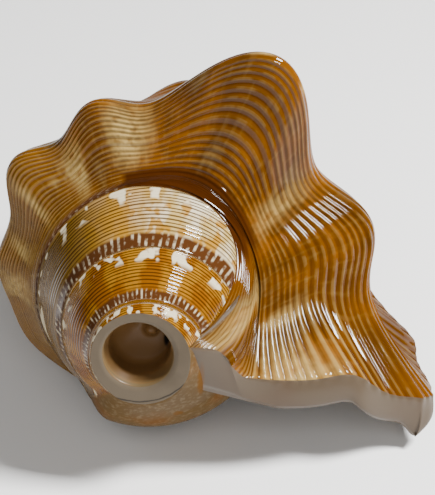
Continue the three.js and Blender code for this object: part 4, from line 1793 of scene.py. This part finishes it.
@dataclass(frozen=True)
class PlainFinish:
    """A finish of one clouded colour that goes over into another with depth."""

    name: str
    colour: Colour
    deep: Colour
    deep_at: float
    gloss: Gloss
    cloud: float = 0.25
    swirls: float = 0.0
    spots: tuple[Spot, ...] = ()

    def material(self) -> bpy.types.Material:
        """The material, blended from colour to deep along the depth mark, with clouds and swirl lines.

        Returns:
            The material.
        """
        tree = MaterialTree(self.name)
        colour = tree.effect(Effects.clouded_depth(), {
            "Place": tree.object_place(), "Turn": tree.mark("turn"), "Depth": tree.mark("depth"),
            "Colour": self.colour, "Deep": self.deep, "Deep At": self.deep_at,
            "Cloud": self.cloud, "Swirls": self.swirls,
        })
        return tree.finish(tree.stained(colour, self.spots), self.gloss)


@dataclass(frozen=True)
class Wardrobe:
    """The four finishes of the shell."""

    skin: SkinFinish = SkinFinish()
    lip: PlainFinish = PlainFinish(
        "lip_porcelain", paint("4c4032"), paint("4a3426"), 1.4, Gloss(0.35, 0.3, 0.15), spots=STAINS,
    )
    ring: PlainFinish = PlainFinish(
        "sawn_ring", paint("5a4f40"), paint("3f3528"), 1.0, Gloss(0.5, 0.0, 0.2), 0.5, spots=(CRACK,),
    )
    cup: PlainFinish = PlainFinish(
        # The cup carries the painted shade spot low in its floor.
        "mouth_cup", paint("53462f"), paint("6b4d2b"), 0.5, Gloss(0.4, 0.2, 0.2), 0.3, 0.5, (SHADED_GAP,),
    )

    def dress(self, shell: bpy.types.Object) -> None:
        """Give the shell its materials in the order of the parts."""
        for finish in (self.skin, self.lip, self.ring, self.cup):
            shell.data.materials.append(finish.material())


@dataclass(frozen=True)
class Lamp:
    """A square soft light: its place and side in metres, its watts, and whether the polish mirrors it."""

    name: str
    place: Point
    size: float
    watts: float
    mirrored: bool = False


@dataclass
class Studio:
    """Pale floor, soft lights from above and the camera."""

    rest: Rest = Rest()
    eye: Point = (34.0, 173.8, 332.6)
    look: Point = (-0.042, -0.398, -0.916)
    up: Point = (-0.018, 0.917, -0.398)
    lens: float = 116.36
    sensor: float = 36.0
    floor_size: float = 6.0
    floor_colour: Colour = paint("f4f3f1")
    sky: float = 0.12
    lamps: tuple[Lamp, ...] = (
        Lamp("key", (0.44, -0.08, 0.7), 0.18, 21.0, True),
        Lamp("front", (0.04, -0.9, 0.6), 0.9, 5.0),
        Lamp("fill", (-0.8, -0.3, 0.7), 1.0, 1.2),
    )

    def floor(self) -> None:
        """A plain pale floor under the shell."""
        half = self.floor_size / 2
        corners = [(-half, -half, 0), (half, -half, 0), (half, half, 0), (-half, half, 0)]
        data = bpy.data.meshes.new("floor")
        data.from_pydata(corners, [], [(0, 1, 2, 3)])
        floor = bpy.data.objects.new("floor", data)
        bpy.context.collection.objects.link(floor)
        data.materials.append(MaterialTree("floor").finish(self.floor_colour, Gloss(0.8, 0.0, 0.5)))

    def light(self, lamp: Lamp) -> None:
        """Hang a lamp and aim it at the shell.

        Args:
            lamp: the lamp.
        """
        data = bpy.data.lights.new(lamp.name, "AREA")
        data.shape = "SQUARE"
        data.size = lamp.size
        data.energy = lamp.watts
        holder = bpy.data.objects.new(lamp.name, data)
        holder.location = lamp.place
        holder.visible_glossy = lamp.mirrored
        holder.rotation_euler = (-Vector(lamp.place)).to_track_quat("-Z", "Y").to_euler()
        bpy.context.collection.objects.link(holder)

    def lights(self) -> None:
        """A small key from above on the lip's side, a broad front light, a broad fill and a dim sky."""
        for lamp in self.lamps:
            self.light(lamp)
        world = bpy.data.worlds.new("sky")
        world.use_nodes = True
        background = world.node_tree.nodes["Background"]
        background.inputs["Color"].default_value = (1.0, 1.0, 1.0, 1.0)
        background.inputs["Strength"].default_value = self.sky
        bpy.context.scene.world = world

    def camera(self) -> None:
        """The camera, placed in the shell frame and laid down with the shell."""
        turn = self.rest.rotation()
        look, up = turn @ np.array(self.look), turn @ np.array(self.up)
        look /= np.linalg.norm(look)
        right = np.cross(look, up)
        right /= np.linalg.norm(right)
        axes = Matrix(np.column_stack([right, np.cross(right, look), -look]).tolist()).to_4x4()
        data = bpy.data.cameras.new("camera")
        data.lens = self.lens
        data.sensor_width = self.sensor
        camera = bpy.data.objects.new("camera", data)
        camera.matrix_world = Matrix.Translation(self.rest.place(np.array([self.eye]))[0].tolist()) @ axes
        bpy.context.collection.objects.link(camera)
        bpy.context.scene.camera = camera


def main() -> None:
    """Build the shell and the studio."""
    logging.basicConfig(level=logging.INFO)
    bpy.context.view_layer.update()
    shell = ConchShell().build()
    Wardrobe().dress(shell)
    LOG.info("%s: %d faces", shell.name, len(shell.data.polygons))
    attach(shell, "root")
    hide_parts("shell")
    studio = Studio()
    studio.floor()
    studio.lights()
    studio.camera()


if __name__ == "__main__":
    main()
